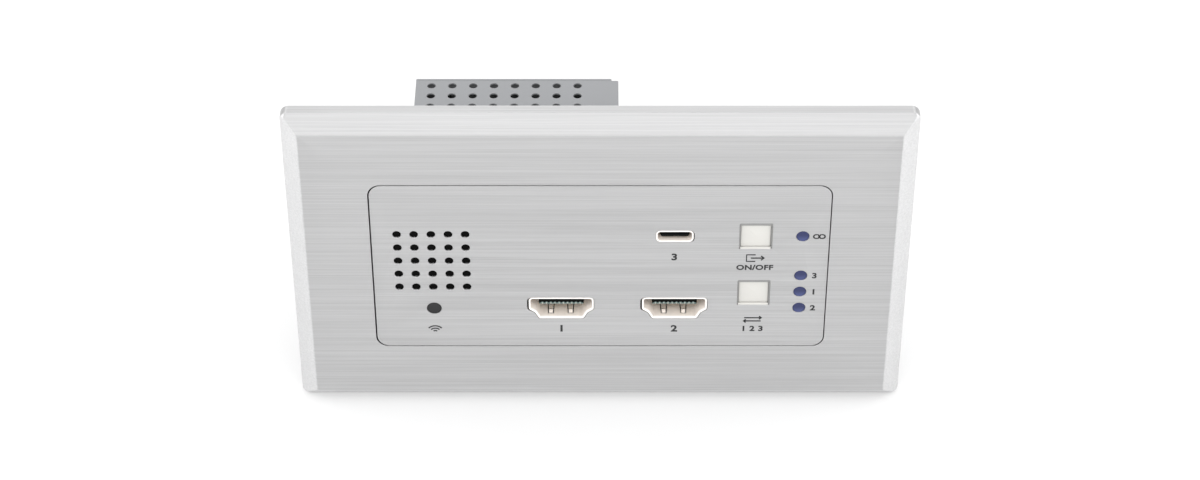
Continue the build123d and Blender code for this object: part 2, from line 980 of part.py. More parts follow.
def board_part(size, x, z, seat_y):
    """A block that stands on a board, from its size along X, Z and Y."""
    width, height, depth = size
    return block(
        (x - width / 2, x + width / 2), (seat_y, seat_y + depth), (z - height / 2, z + height / 2)
    )


def make_capacitors():
    """Round capacitors in a row on the main board."""
    shoulder_y = main_back_y + capacitor_height - capacitor_bevel
    outline = [
        (capacitor_radius, main_back_y),
        (capacitor_radius, shoulder_y),
        (capacitor_radius - capacitor_bevel, shoulder_y + capacitor_bevel),
    ]
    z = -post_z / 2
    columns = [inner_post_x - index * capacitor_pitch for index in range(capacitor_count)]
    return [turned(outline, x, z, round_sides) for x in columns]


def encoder_back_y():
    """The back of the transmitter chip."""
    return stack_back_y + encoder_size[2]


def make_heat_sink():
    """A finned sink over the transmitter chip, its fins upright in the flow of air."""
    width = vented_width - 2 * sink_side_margin
    height = housing_height - 2 * sink_end_margin
    base_y = encoder_back_y() + thermal_pad_thickness
    fins_y = base_y + sink_base_thickness
    end_y = vented_end_y - fin_end_gap
    sink = board_part((width, height, sink_base_thickness), sink_x, 0, base_y)
    fin_step = (width - fin_thickness) / (fin_count - 1)
    for index in range(fin_count):
        left = sink_x - width / 2 + index * fin_step
        sink += block((left, left + fin_thickness), (fins_y, end_y), (-height / 2, height / 2))
    return sink


def folded_box(left, right, depth):
    """Four walls of folded sheet around a rectangle, open in front and behind."""
    middle = (left + right) / 2
    outer = RectangleRounded(right - left, housing_height, fold_radius)
    inner_width = right - left - 2 * sheet_thickness
    inner = Rectangle(inner_width, 2 * inner_half_height)
    return slab(Pos(middle, 0) * (outer - inner), 0, depth)


def housing_screw_places():
    """Screws through the flanges of both boxes, from left to right."""
    z = housing_height / 2 + flange_height / 2
    quarter = vented_width / 4
    columns = (
        vented_left + quarter,
        vented_right - quarter,
        vented_right + quarter,
        connector_right - quarter,
    )
    return [(x, level * z) for x in columns for level in (-1, 1)]


def flanges(left, right):
    """The flanges above and below a box, which lie against the mounting plate."""
    strips = []
    edge = housing_height / 2 - sheet_thickness
    tip = housing_height / 2 + flange_height
    for level in (-1, 1):
        span = sorted((level * edge, level * tip))
        strip = block((left, right), (0, sheet_thickness), span)
        for x, z in housing_screw_places():
            if left < x < right and z * level > 0:
                strip -= screw_hole(x, z, 0, sheet_thickness)
        strips.append(strip)
    return strips


def cover_screw_places():
    """Screws that hold the rear cover on the lips of the vented box."""
    z = inner_half_height - lip_depth / 2
    left = vented_left + sheet_thickness + lip_depth
    right = vented_right - sheet_thickness - lip_depth
    return [(x, level * z) for x in (left, right) for level in (-1, 1)]


def make_vented_box():
    """The deep box over the transmitter board, vented above and below."""
    box = folded_box(vented_left, vented_right, vented_end_y)
    box -= block(
        (vented_right - sheet_thickness, vented_right + overrun),
        (-overrun, main_back_y + board_clearance),
        (-inner_half_height, inner_half_height),
    )
    box += flanges(vented_left, vented_right)
    lip_x = (vented_left + sheet_thickness, vented_right - sheet_thickness)
    for level in (-1, 1):
        span = sorted((level * inner_half_height, level * (inner_half_height - lip_depth)))
        box += block(lip_x, (vented_end_y - sheet_thickness, vented_end_y), span)
    for x, z in cover_screw_places():
        box -= countersink(x, z, housing_depth, vented_end_y - sheet_thickness)

    top_cuts, bottom_cuts = [], []
    drill = extrude(many_sided(vent_radius, vent_sides), amount=sheet_thickness / 2 + overrun, both=True)
    wall_middle = housing_height / 2 - sheet_thickness / 2
    for column in range(vent_columns):
        x = vented_left + vent_first_across + column * vent_pitch_across
        for row in range(vent_rows):
            y = housing_depth - vent_first_deep - row * vent_pitch_deep
            top_cuts.append(Pos(x, y, wall_middle) * drill)
        slot = Rectangle(lower_vent_width, lower_vent_length)
        slot = chamfer(slot.vertices(), lower_vent_corner)
        cutter = extrude(slot, amount=sheet_thickness / 2 + overrun, both=True)
        y = (main_back_y + vented_end_y) / 2
        bottom_cuts.append(Pos(x, y, -wall_middle) * cutter)
    return box - top_cuts - bottom_cuts


def make_rear_cover():
    """The flat cover behind the vented box."""
    cover = block(
        (vented_left, vented_right - cover_setback),
        (vented_end_y, housing_depth),
        (-housing_height / 2, housing_height / 2),
    )
    for x, z in cover_screw_places():
        cover -= countersink(x, z, housing_depth, vented_end_y)
    return cover


def make_cover_screws():
    """Flat screws through the rear cover into the lips."""
    tip_y = vented_end_y - sheet_thickness - overrun
    return [flat_screw(x, z, housing_depth, tip_y) for x, z in cover_screw_places()]


def make_housing_screws():
    """Screws that hold the flanges of both boxes to the mounting plate."""
    return [pan_screw(x, z, sheet_thickness, mount_front_y) for x, z in housing_screw_places()]


def header_width(poles):
    """The width of a header with this many poles."""
    return poles * header_pitch + header_end


def make_connector_box():
    """The shallow box behind the controls, cut out for the cable connectors."""
    box = folded_box(vented_right - jack_inset, connector_right, connector_depth)
    box += flanges(vented_right, connector_right)
    box += block(
        (vented_right, connector_right - sheet_thickness),
        (connector_depth - sheet_thickness, connector_depth),
        (-inner_half_height, inner_half_height),
    )
    box -= block(
        (vented_right - jack_inset - overrun, vented_right),
        (-overrun, connector_depth + overrun),
        (-housing_height, housing_height),
    )
    wall_y = (connector_depth - sheet_thickness - overrun, connector_depth + overrun)
    grow = 2 * cutout_gap
    cutouts = [Pos(jack_x, jack_z) * Rectangle(jack_width + grow, jack_height + grow)]
    for poles, z in ((power_poles, power_header_z), (control_poles, control_header_z)):
        cutouts.append(
            Pos(header_x, z) * Rectangle(header_width(poles) + grow, header_height + grow)
        )
    for cutout in cutouts:
        box -= slab(cutout, *wall_y)
    return box - rod(earth_screw_radius + screw_clearance, *wall_y, jack_x, earth_z)


def make_jack_shell():
    """The folded metal screen around the network jack."""
    outline = Rectangle(jack_width, jack_height)
    outline -= Rectangle(jack_width - 2 * jack_wall, jack_height - 2 * jack_wall)
    return slab(Pos(jack_x, jack_z) * outline, main_back_y, connector_depth + jack_proud)


def jack_socket_outline():
    """The network jack's mouth, with the steps for the plug's latch below."""
    top = jack_socket_rise + jack_socket_height / 2
    low = top - jack_socket_height
    outline = Pos(0, top - jack_socket_height / 2) * Rectangle(jack_socket_width, jack_socket_height)
    step = Rectangle(jack_latch_width, 2 * jack_latch_height)
    key = Rectangle(jack_key_width, 2 * (jack_latch_height + jack_key_height))
    return outline + Pos(0, low) * step + Pos(0, low) * key


def make_jack_insert():
    """The plastic inside of the network jack with its stepped socket."""
    width = jack_width - 2 * jack_wall - 2 * fit_gap
    height = jack_height - 2 * jack_wall - 2 * fit_gap
    end_y = connector_depth + jack_proud - jack_recess
    body = slab(Rectangle(width, height), main_back_y, end_y)
    body -= slab(jack_socket_outline(), main_back_y + jack_floor, end_y + overrun)
    return Pos(jack_x, 0, jack_z) * body


def make_jack_contacts():
    """Eight contact wires that slope down from the ceiling of the jack's socket."""
    ceiling = jack_z + jack_socket_rise + jack_socket_height / 2
    mouth_y = connector_depth + jack_proud - jack_recess - jack_wall
    bend_y = mouth_y - jack_contact_rest
    tip_y = main_back_y + jack_floor + jack_contact_gap
    low = ceiling - jack_contact_thickness
    outline = Polygon(
        (mouth_y, ceiling),
        (bend_y, ceiling),
        (tip_y, ceiling - jack_contact_drop),
        (tip_y, low - jack_contact_drop),
        (bend_y, low),
        (mouth_y, low),
    )
    wire = extrude(Plane.YZ * outline, amount=jack_contact_width / 2, both=True)
    return [Pos(x, 0, 0) * wire for x in row(jack_x, jack_contact_count, jack_contact_pitch)]


def make_header(poles, z):
    """The shrouded body of a green header."""
    end_y = connector_depth + header_proud
    width = header_width(poles)
    body = slab(Rectangle(width, header_height), main_back_y, end_y)
    socket = Rectangle(width - 2 * header_wall, header_height - 2 * header_wall)
    body -= slab(socket, main_back_y + header_floor, end_y + overrun)
    return Pos(header_x, 0, z) * body


def make_header_pins():
    """Square pins that stand on the floor of both headers."""
    tip_y = connector_depth + header_proud - header_pin_setback
    pins = []
    for poles, z in ((power_poles, power_header_z), (control_poles, control_header_z)):
        z_span = (z - header_pin_width / 2, z + header_pin_width / 2)
        y_span = (main_back_y + header_floor, tip_y)
        pins += contact_strips(header_x, poles, header_pitch, header_pin_width, y_span, z_span)
    return pins


def make_earth_screw():
    """The earth screw with its washer on the back of the connector box."""
    washer_y = connector_depth + earth_washer_thickness
    head_y = washer_y + earth_head_height
    tip_y = connector_depth - sheet_thickness - earth_nut_height - overrun
    shoulder_y = head_y - earth_head_bevel
    outline = [
        (earth_washer_radius, connector_depth),
        (earth_washer_radius, washer_y),
        (earth_head_radius, washer_y),
        (earth_head_radius, shoulder_y),
        (earth_head_radius - earth_head_bevel, head_y),
    ]
    shank = rod(earth_screw_radius, tip_y, connector_depth, jack_x, earth_z)
    return shank + turned(outline, jack_x, earth_z, round_sides)


def make_earth_nut():
    """The clinched nut inside the connector box."""
    back_y = connector_depth - sheet_thickness
    nut = slab(Pos(jack_x, earth_z) * hexagon(earth_nut_flats), back_y - earth_nut_height, back_y)
    bore = rod(
        earth_screw_radius + thread_clearance, back_y - 2 * earth_nut_height, back_y + overrun,
        jack_x, earth_z,
    )
    return nut - bore


link_width, link_height = board_link_size
pad_width, pad_height = thermal_pad_size
parts = {
    "surround": make_surround(),
    "surround_clips": make_surround_clips(),
    "mounting_plate": make_mounting_plate(),
    "face_panel": make_panel(),
    "panel_posts": make_panel_posts(),
    "panel_screws": make_panel_screws(),
    "dust_filter": make_dust_filter(),
    "remote_window": make_remote_window(),
    "remote_receiver": make_remote_receiver(),
    "lamp_diodes": make_lamp_diodes(),
    "button_guide": make_button_guide(),
    "type_c_shell": make_type_c_shell(),
    "type_c_tongue": make_type_c_tongue(),
    "type_c_contacts": make_type_c_contacts(),
    "control_board": make_control_board(),
    "control_spacers": make_control_spacers(),
    "control_plug": make_control_plug(),
    "main_board": make_main_board(),
    "board_posts": make_board_posts(),
    "stack_posts": make_stack_posts(),
    "board_screws": make_board_screws(),
    "transmitter_board": make_transmitter_board(),
    "board_link": board_part(
        (link_width, link_height, stack_height), sink_x, post_z - board_link_drop, main_back_y
    ),
    "video_chip": board_part(video_chip_size, jack_x, video_chip_z, main_back_y),
    "line_magnetics": board_part(
        magnetics_size, header_x + magnetics_shift, post_z - magnetics_drop, main_back_y
    ),
    "power_inductor": board_part(inductor_size, outer_post_x + inductor_drop / 2, -post_z / 2, main_back_y),
    "capacitors": make_capacitors(),
    "transmitter_chip": board_part(encoder_size, sink_x, 0, stack_back_y),
    "thermal_pad": board_part(
        (pad_width, pad_height, thermal_pad_thickness), sink_x, 0, encoder_back_y()
    ),
    "heat_sink": make_heat_sink(),
    "vented_box": make_vented_box(),
    "rear_cover": make_rear_cover(),
    "cover_screws": make_cover_screws(),
    "connector_box": make_connector_box(),
    "housing_screws": make_housing_screws(),
    "network_jack_shell": make_jack_shell(),
    "network_jack_insert": make_jack_insert(),
    "network_jack_contacts": make_jack_contacts(),
    "power_header": make_header(power_poles, power_header_z),
    "control_header": make_header(control_poles, control_header_z),
    "header_pins": make_header_pins(),
    "earth_screw": make_earth_screw(),
    "earth_nut": make_earth_nut(),
}
for name, z in lamp_places.items():
    parts[name + "_lamp_lens"] = make_lamp_lens(z)
for name, z in button_places.items():
    parts[name + "_button_cap"] = make_button_cap(z)
    parts[name + "_switch_plunger"] = make_plunger(z)
    parts[name + "_switch_body"] = make_switch(z)
for name, x in video_places.items():
    parts[name + "_shell"] = make_video_shell(x)
    parts[name + "_tongue"] = make_video_tongue(x)
    parts[name + "_contacts"] = make_video_contacts(x)

os.makedirs("parts", exist_ok=True)
for name, shape in parts.items():
    pieces = shape if isinstance(shape, list) else [shape]
    solids = [solid for piece in pieces for solid in piece.solids()]
    export_step(Compound(solids), "parts/" + name + ".step")
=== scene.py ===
import json
from math import atan2, cos, hypot, pi, radians, sin, tan

import bmesh
import bpy
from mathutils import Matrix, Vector
from mathutils.geometry import tessellate_polygon


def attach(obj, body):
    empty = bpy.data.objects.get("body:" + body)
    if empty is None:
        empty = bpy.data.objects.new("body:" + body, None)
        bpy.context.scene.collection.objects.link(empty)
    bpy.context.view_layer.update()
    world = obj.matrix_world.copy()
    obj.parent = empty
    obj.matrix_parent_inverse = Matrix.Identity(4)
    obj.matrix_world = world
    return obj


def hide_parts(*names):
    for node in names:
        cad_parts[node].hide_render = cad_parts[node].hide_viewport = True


# The looks of a double wall plate that sends video over a network cable, around its frame.
# Lengths are in millimetres and become metres where a mesh is made. +X is to the right seen
# from the room, +Y goes into the wall and +Z is up.
MM = 0.001

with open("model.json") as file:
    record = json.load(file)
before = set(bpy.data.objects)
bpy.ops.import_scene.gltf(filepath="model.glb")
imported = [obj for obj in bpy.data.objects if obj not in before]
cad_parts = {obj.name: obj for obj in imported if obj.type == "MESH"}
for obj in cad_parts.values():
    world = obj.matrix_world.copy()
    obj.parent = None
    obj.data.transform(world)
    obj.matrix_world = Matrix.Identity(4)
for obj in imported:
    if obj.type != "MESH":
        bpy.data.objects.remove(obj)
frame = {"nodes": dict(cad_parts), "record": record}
scene = bpy.context.scene
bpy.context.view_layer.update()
slot_of = {entry["node"]: entry["material_slot"] for entry in frame["record"]["subparts"]}


# ---- shader helpers

middling = 0.25, 0.75
duller_by, glossier_by = 0.06, 0.05
grain_low, line_low = 0.3, 0.38
line_stretch = 0.006
line_grain, broad_grain, cloud_grain = 2300.0, 420.0, 28.0
broad_share, cloud_share = 0.12, 0.04
patch_grain, grain_share = 55.0, 0.4
streak_lean = 0.3


def new_material(name):
    """A material, its node tree and its shader."""
    mat = bpy.data.materials.new(name)
    mat.use_nodes = True
    tree = mat.node_tree
    return mat, tree, tree.nodes["Principled BSDF"]


def feed(node, inputs):
    """Gives inputs a value each, or the output that feeds them."""
    for name, value in inputs.items():
        if isinstance(value, bpy.types.NodeSocket):
            node.id_data.links.new(value, node.inputs[name])
        else:
            node.inputs[name].default_value = value


def shader_node(tree, kind, inputs, **settings):
    """A new node with these settings and inputs."""
    node = tree.nodes.new("ShaderNode" + kind)
    for name, value in settings.items():
        setattr(node, name, value)
    feed(node, inputs)
    return node


def position(tree, space="Object"):
    """The place on the object."""
    return shader_node(tree, "TexCoord", {}).outputs[space]


def noise(tree, scale, detail=2.0, roughness=0.5, stretch=(1, 1, 1)):
    """A noise from 0 to 1 by the place on the object, which may be stretched."""
    mapping = shader_node(tree, "Mapping", {"Vector": position(tree), "Scale": stretch})
    inputs = {
        "Vector": mapping.outputs["Vector"], "Scale": scale, "Detail": detail, "Roughness": roughness,
    }
    return shader_node(tree, "TexNoise", inputs).outputs["Fac"]


def ramp(tree, value, low, high, low_at):
    """A colour between two, by a value from low_at to as far below 1."""
    node = shader_node(tree, "ValToRGB", {"Fac": value})
    first, last = node.color_ramp.elements
    first.position, last.position = low_at, 1 - low_at
    first.color, last.color = (*low, 1), (*high, 1)
    return node.outputs["Color"]


def spread(tree, value, start, end, low=0.0, high=1.0, **settings):
    """A number from low to high while a value goes from start to end."""
    inputs = {"Value": value, "From Min": start, "From Max": end, "To Min": low, "To Max": high}
    return shader_node(tree, "MapRange", inputs, **settings).outputs["Result"]


def mixed(tree, first, second, share):
    """A mix of two values with this share of the second."""
    return shader_node(tree, "Mix", {"Factor": share, "A": first, "B": second}).outputs["Result"]


def bump(tree, shader, height, distance):
    """Fine relief from a height value."""
    inputs = {"Strength": 1.0, "Distance": distance * MM, "Height": height}
    feed(shader, {"Normal": shader_node(tree, "Bump", inputs).outputs["Normal"]})


def finish_shader(tree, shader, color, tone, rough, metallic, vary, low_at):
    """Sets colour, gloss and metal of a shader by a tone that varies over the piece."""
    dark, light = [[min(1.0, part * share) for part in color] for share in (1 - vary, 1 + vary)]
    shades = ramp(tree, tone, dark, light, low_at)
    gloss = spread(tree, tone, *middling, rough - glossier_by, rough + duller_by)
    feed(shader, {"Base Color": shades, "Roughness": gloss, "Metallic": metallic})


def grained(name, color, rough, grain, relief, vary, metallic=0.0, specular=0.5):
    """Plastic, paint or plain metal: a fine grain and a slow change of tone and gloss."""
    mat, tree, shader = new_material(name)
    fine = noise(tree, grain, detail=3.0, roughness=0.6)
    tone = mixed(tree, noise(tree, patch_grain, detail=3.0), fine, grain_share)
    finish_shader(tree, shader, color, tone, rough, metallic, vary, grain_low)
    feed(shader, {"Specular IOR Level": specular})
    bump(tree, shader, fine, relief)
    return mat


def brushed(name, color, along, rough, vary=0.05, relief=0.004, metallic=1.0, streak=0.0):
    """Metal with brush lines along one axis, which may streak its highlights upright."""
    mat, tree, shader = new_material(name)
    stretch = tuple(line_stretch if axis == along else 1 for axis in "xyz")
    lines = noise(tree, line_grain, detail=4.0, roughness=0.75, stretch=stretch)
    broad = noise(tree, broad_grain, stretch=stretch)
    tone = mixed(tree, mixed(tree, lines, broad, broad_share), noise(tree, cloud_grain), cloud_share)
    finish_shader(tree, shader, color, tone, rough, metallic, vary, line_low)
    bump(tree, shader, lines, relief)
    if streak:
        way = shader_node(tree, "CombineXYZ", {"Y": streak_lean, "Z": 1.0})
        feed(shader, {"Anisotropic": streak, "Tangent": way.outputs["Vector"]})
    return mat


def painted_light_tone(mat, color, start, end, space="Object", axis="Y"):
    """Paints light or shade on a finish: multiplies it by a colour that sets in at start and is full at
    end.
    """
    tree = mat.node_tree
    shader = tree.nodes["Principled BSDF"]
    base = shader.inputs["Base Color"].links[0].from_socket
    parts = shader_node(tree, "SeparateXYZ", {"Vector": position(tree, space)})
    share = spread(tree, parts.outputs[axis], start, end)
    inputs = {"Factor": share, "A": base, "B": (*color, 1)}
    shade = shader_node(tree, "Mix", inputs, data_type="RGBA", blend_type="MULTIPLY")
    feed(shader, {"Base Color": shade.outputs["Result"]})


# ---- mesh helpers

usual_crease, strip_crease, surround_crease = 32.0, 40.0, 20.0
same_point = 1e-8
least_radius, least_corner = 0.004, 0.005


def new_piece(name, data):
    """A mesh, light or camera as an object in the scene."""
    piece = bpy.data.objects.new(name, data)
    scene.collection.objects.link(piece)
    return piece


def settled(piece):
    """The mesh of a piece with its modifiers or letters worked out."""
    depsgraph = bpy.context.evaluated_depsgraph_get()
    return bpy.data.meshes.new_from_object(piece.evaluated_get(depsgraph))


def crisp(mesh, crease=usual_crease):
    """Merges double points, turns normals outwards and keeps sharp turns sharp."""
    bm = bmesh.new()
    bm.from_mesh(mesh)
    bmesh.ops.remove_doubles(bm, verts=bm.verts, dist=same_point)
    bmesh.ops.recalc_face_normals(bm, faces=bm.faces)
    for face in bm.faces:
        face.smooth = True
    for edge in bm.edges:
        if len(edge.link_faces) == 2:
            edge.smooth = edge.calc_face_angle(0.0) < radians(crease)
    bm.to_mesh(mesh)
    bm.free()


def tidy_mesh(name, verts, faces, crease=usual_crease):
    """A piece from points in millimetres, with crisp edges where it turns."""
    mesh = bpy.data.meshes.new(name)
    mesh.from_pydata([Vector(vert) * MM for vert in verts], [], faces)
    crisp(mesh, crease)
    return new_piece(name, mesh)


def piece_from(name, bm):
    """A piece from a mesh under work, which is freed."""
    mesh = bpy.data.meshes.new(name)
    bm.to_mesh(mesh)
    bm.free()
    return new_piece(name, mesh)


def repeated(name, pattern, places):
    """Copies of a piece made around the origin, as one piece."""
    bm = bmesh.new()
    for place in places:
        known = len(bm.verts)
        bm.from_mesh(pattern.data)
        bm.verts.ensure_lookup_table()
        bmesh.ops.translate(bm, vec=Vector(place) * MM, verts=bm.verts[known:])
    bpy.data.objects.remove(pattern)
    return piece_from(name, bm)


def join(name, pieces):
    """Several pieces made one."""
    bm = bmesh.new()
    for piece in pieces:
        bm.from_mesh(piece.data)
        bpy.data.objects.remove(piece)
    return piece_from(name, bm)


def combine(piece, others, operation):
    """A piece with shapes taken out of it or melted into it."""
    other = join("other", others)
    modifier = piece.modifiers.new("combine", "BOOLEAN")
    modifier.object = other
    modifier.operation = operation
    modifier.solver = "EXACT"
    modifier.use_self = True
    mesh = settled(piece)
    piece.modifiers.clear()
    piece.data = mesh
    bpy.data.objects.remove(other)
    crisp(mesh)
    return piece


def cut(piece, cutters):
    """A piece less the cutters."""
    return combine(piece, cutters, "DIFFERENCE")


def melt(piece, additions):
    """A piece with the additions as one skin."""
    return combine(piece, additions, "UNION")


def rounded(points, radius, steps):
    """An outline with rounded corners, as a function of its growth. The points run
    counter-clockwise; radius is a number or a list, one for each corner."""
    count = len(points)
    radii = radius if isinstance(radius, list) else [radius] * count

    def outline(grow=0.0):
        edges = []
        for a, b in pairs(count):
            (ax, az), (bx, bz) = points[a], points[b]
            length = hypot(bx - ax, bz - az)
            ux, uz = (bx - ax) / length, (bz - az) / length
            edges.append((ax + uz * grow, az - ux * grow, ux, uz))
        ring = []
        for index in range(count):
            px, pz, ux, uz = edges[index - 1]
            qx, qz, vx, vz = edges[index]
            cross = ux * vz - uz * vx
            reach = ((qx - px) * vz - (qz - pz) * vx) / cross
            turn = atan2(cross, ux * vx + uz * vz)
            bend = 1 if turn > 0 else -1
            r = max(radii[index] + bend * grow, least_radius)
            setback = reach - r * tan(abs(turn) / 2)
            sx, sz = px + ux * setback, pz + uz * setback
            mx, mz = sx - bend * uz * r, sz + bend * ux * r
            start = atan2(sz - mz, sx - mx)
            for step in range(steps + 1):
                angle = start + turn * step / steps
                ring.append((mx + r * cos(angle), mz + r * sin(angle)))
        return ring

    return outline


def box_outline(width, height, radius, x=0.0, z=0.0, steps=6):
    """A rounded rectangle around a middle."""
    w, h = width / 2, height / 2
    return rounded([(x - w, z - h), (x + w, z - h), (x + w, z + h), (x - w, z + h)], radius, steps)


def disc_outline(radius, x, z, steps=40):
    """A circle around a middle."""

    def outline(grow):
        turns = [2 * pi * step / steps for step in range(steps)]
        return [(x + (radius + grow) * cos(turn), z + (radius + grow) * sin(turn)) for turn in turns]

    return outline


def soft_profile(start, end, soft_start, soft_end=0.0, steps=3):
    """Rings from face to face as (into the material, depth). A soft edge is its inset and its
    depth, or one number for both."""
    toward = 1 if end > start else -1

    def edge(soft, face, sign):
        inset, depth = soft if isinstance(soft, tuple) else (soft, soft)
        if not inset:
            return [(0.0, face)]
        turns = [pi / 2 * step / steps for step in range(steps + 1)]
        return [(inset * (1 - sin(turn)), face + sign * depth * (1 - cos(turn))) for turn in turns]

    return edge(soft_start, start, toward) + edge(soft_end, end, -toward)[::-1]


def pairs(size):
    """Each place in a ring with the next one."""
    return [(index, (index + 1) % size) for index in range(size)]


def skin(near, far):
    """Faces between two rings of as many points."""
    return [(near[a], near[b], far[b], far[a]) for a, b in pairs(len(near))]


def band(name, verts, closed=False, crease=usual_crease):
    """A piece with four corners at each step along it, perhaps in a ring."""
    size = len(verts)
    faces = []
    for a in range(0, size if closed else size - 4, 4):
        b = (a + 4) % size
        faces += [
            (a, a + 2, b + 2, b), (a + 1, b + 1, b + 3, a + 3),
            (a, b, b + 1, a + 1), (a + 2, a + 3, b + 3, b + 2),
        ]
    if not closed:
        last = size - 4
        faces += [(0, 1, 3, 2), (last, last + 2, last + 3, last + 1)]
    return tidy_mesh(name, verts, faces, crease)


def upright(u, v, w):
    """An outline seen from the room, with its depth into the wall."""
    return (u, w, v)


def level(u, v, w):
    """An outline seen from above, with its height."""
    return (u, v, w)


def solid(name, loops, plane=upright):
    """A closed piece between two flat faces. Each loop is (outline, rings, kind), where kind is
    outside, hole or pocket and rings are (into the material, depth). The outside comes first."""
    verts, flat, faces, starts, ends = [], [], [], [], []
    for outline, rings, kind in loops:
        rows = []
        for into, depth in rings:
            ring = outline(-into if kind == "outside" else into)
            rows.append(list(range(len(verts), len(verts) + len(ring))))
            verts += [plane(u, v, depth) for u, v in ring]
            flat += [Vector((u, v, 0.0)) for u, v in ring]
        for near, far in zip(rows, rows[1:]):
            faces += skin(near, far)
        starts.append(rows[0])
        if kind == "pocket":
            faces.append(tuple(rows[-1]))
        else:
            ends.append(rows[-1])
    for rows in (starts, ends):
        if len(rows) == 1:
            faces.append(tuple(rows[0]))
            continue
        index = [vert for row in rows for vert in row]
        triangles = tessellate_polygon([[flat[vert] for vert in row] for row in rows])
        faces += [tuple(index[corner] for corner in triangle) for triangle in triangles]
    return tidy_mesh(name, verts, faces)


def plate(name, outline, start, end, soft_start=0.0, soft_end=0.0, holes=()):
    """A flat piece with soft edges and holes, each (outline, soft at start, soft at end)."""
    loops = [(outline, soft_profile(start, end, soft_start, soft_end), "outside")]
    for hole, soft_a, soft_b in holes:
        loops.append((hole, soft_profile(start, end, soft_a, soft_b), "hole"))
    return solid(name, loops)


def bar(name, x_span, y_span, z_span, soft=0.0):
    """A block with soft edges and corners."""
    (x0, x1), (y0, y1), (z0, z1) = x_span, y_span, z_span
    corner = max(soft, least_corner)
    outline = box_outline(x1 - x0, z1 - z0, corner, (x0 + x1) / 2, (z0 + z1) / 2, 3)
    return plate(name, outline, y0, y1, soft, soft)


def turned(name, profile, steps, x=0.0, z=0.0):
    """A round piece on an axis into the wall, from (radius, y) pairs."""
    verts, faces, rows = [], [], []
    for radius, y in profile:
        count = 1 if radius == 0.0 else steps
        rows.append(list(range(len(verts), len(verts) + count)))
        for step in range(count):
            angle = 2 * pi * step / steps
            verts.append((x + radius * cos(angle), y, z + radius * sin(angle)))
    for near, far in zip(rows, rows[1:]):
        if len(near) == 1:
            faces += [(near[0], far[b], far[a]) for a, b in pairs(steps)]
        elif len(far) == 1:
            faces += [(near[a], near[b], far[0]) for a, b in pairs(steps)]
        else:
            faces += skin(near, far)
    return tidy_mesh(name, verts, faces)


def strip(name, path, spans, thickness):
    """A flat strip along (y, z) points; spans are its left and right edge on the way."""
    verts = []
    for index, ((y, z), span) in enumerate(zip(path, spans)):
        (ay, az), (by, bz) = path[max(index - 1, 0)], path[min(index + 1, len(path) - 1)]
        length = hypot(by - ay, bz - az)
        ny, nz = (bz - az) / length, (by - ay) / length
        side = -1 if nz < 0 else 1
        for x in span:
            verts.append((x, y, z))
            verts.append((x, y - side * ny * thickness, z + side * nz * thickness))
    return band(name, verts, crease=strip_crease)


def row(middle, count, pitch):
    """Evenly spaced places about a middle."""
    return [middle + (index - (count - 1) / 2) * pitch for index in range(count)]


def about(middle, half):
    """The two ends of a span about a middle."""
    return (middle - half, middle + half)


# ---- sizes, as the part has them

front, panel_back, mount_front = -6.4, -4.6, -1.5
plate_width, plate_height = 146.0, 86.0
rim_depth, bevel = 2.7, 4.05
panel_width, panel_height, panel_radius = 106.9, 48.9, 2.85
seam = 0.3
grille_x, grille_z, grille_count, grille_pitch = -39.5, 2.1, 5, 4.0
upper_z, lower_z = 9.5, -12.6
lamp_x, button_x = 47.35, 36.4
type_c_x = 17.45
video_x = {"video_in_1": -9.25, "video_in_2": 17.7}
video_height = 6.45
lamp_z = {"link": upper_z, "type_c": -2.45, "video_1": -7.45, "video_2": -12.45}
button_z = {"output": upper_z, "auto": -7.75}
socket_end = 6.6
video_wall, type_c_wall = 0.45, 0.4
screw_x, screw_z, screw_hole = 49.85, 20.85, 1.3
sheet, housing_height, flange_reach = 1.0, 52.0, 7.0
beyond = 1.0
vented_left, vented_right, vented_end, housing_depth = -44.2, 4.4, 32.55, 33.3
connector_right, connector_depth = 54.2, 20.5
board_back = 8.2
jack_x, jack_z, jack_width, jack_height = 16.5, -13.0, 16.0, 13.6
header_x = 37.5
headers = {"power_header": (2, -14.0), "control_header": (3, 3.5)}
header_pitch, header_height, header_end, header_floor = 3.81, 7.2, 20.8, 12.4
header_wall, cut_room = 0.8, 0.6
earth_z = 17.0
inner_half = housing_height / 2 - sheet
corner_steps, small_steps, fine_steps, round_steps = 8, 24, 28, 48


# ---- materials

# After a name and a colour stand, for a grain, its roughness, grains to the metre, relief and change
# of tone, and for brush lines their axis, roughness, change of tone and relief.
aluminium = brushed("brushed aluminium", (0.536, 0.536, 0.539), "x", 0.46, 0.09, 0.003, 1.0, 0.95)
# Painted highlight and shade: the bevels are painted lighter than the face, and the rim is painted
# darker.
painted_light_tone(aluminium, (1.08, 1.08, 1.08), (front + 0.05) * MM, (front + 0.3) * MM)
painted_light_tone(aluminium, (0.93, 0.93, 0.93), (-rim_depth - 0.2) * MM, -rim_depth * MM)
lamp_plastic = grained("lamp plastic", (0.017, 0.024, 0.095), 0.4, 1800.0, 0.006, 0.1)
# Painted reflection: each lamp is painted lighter in its lower half.
painted_light_tone(lamp_plastic, (3.6, 3.3, 2.3), 0.55, 0.14, "Generated", "Z")
# Painted shade: grey plastic for the frames above and beside the buttons, which stand in for the shade
# there.
button_shade_plastic = grained("button painted shade", (0.27, 0.27, 0.265), 0.5, 2200.0, 0.005, 0.06)
cap_plastic = grained("button plastic", (0.63, 0.62, 0.59), 0.42, 2600.0, 0.006, 0.02)
black_plastic = grained("black plastic", (0.025, 0.025, 0.026), 0.5, 1900.0, 0.008, 0.2)
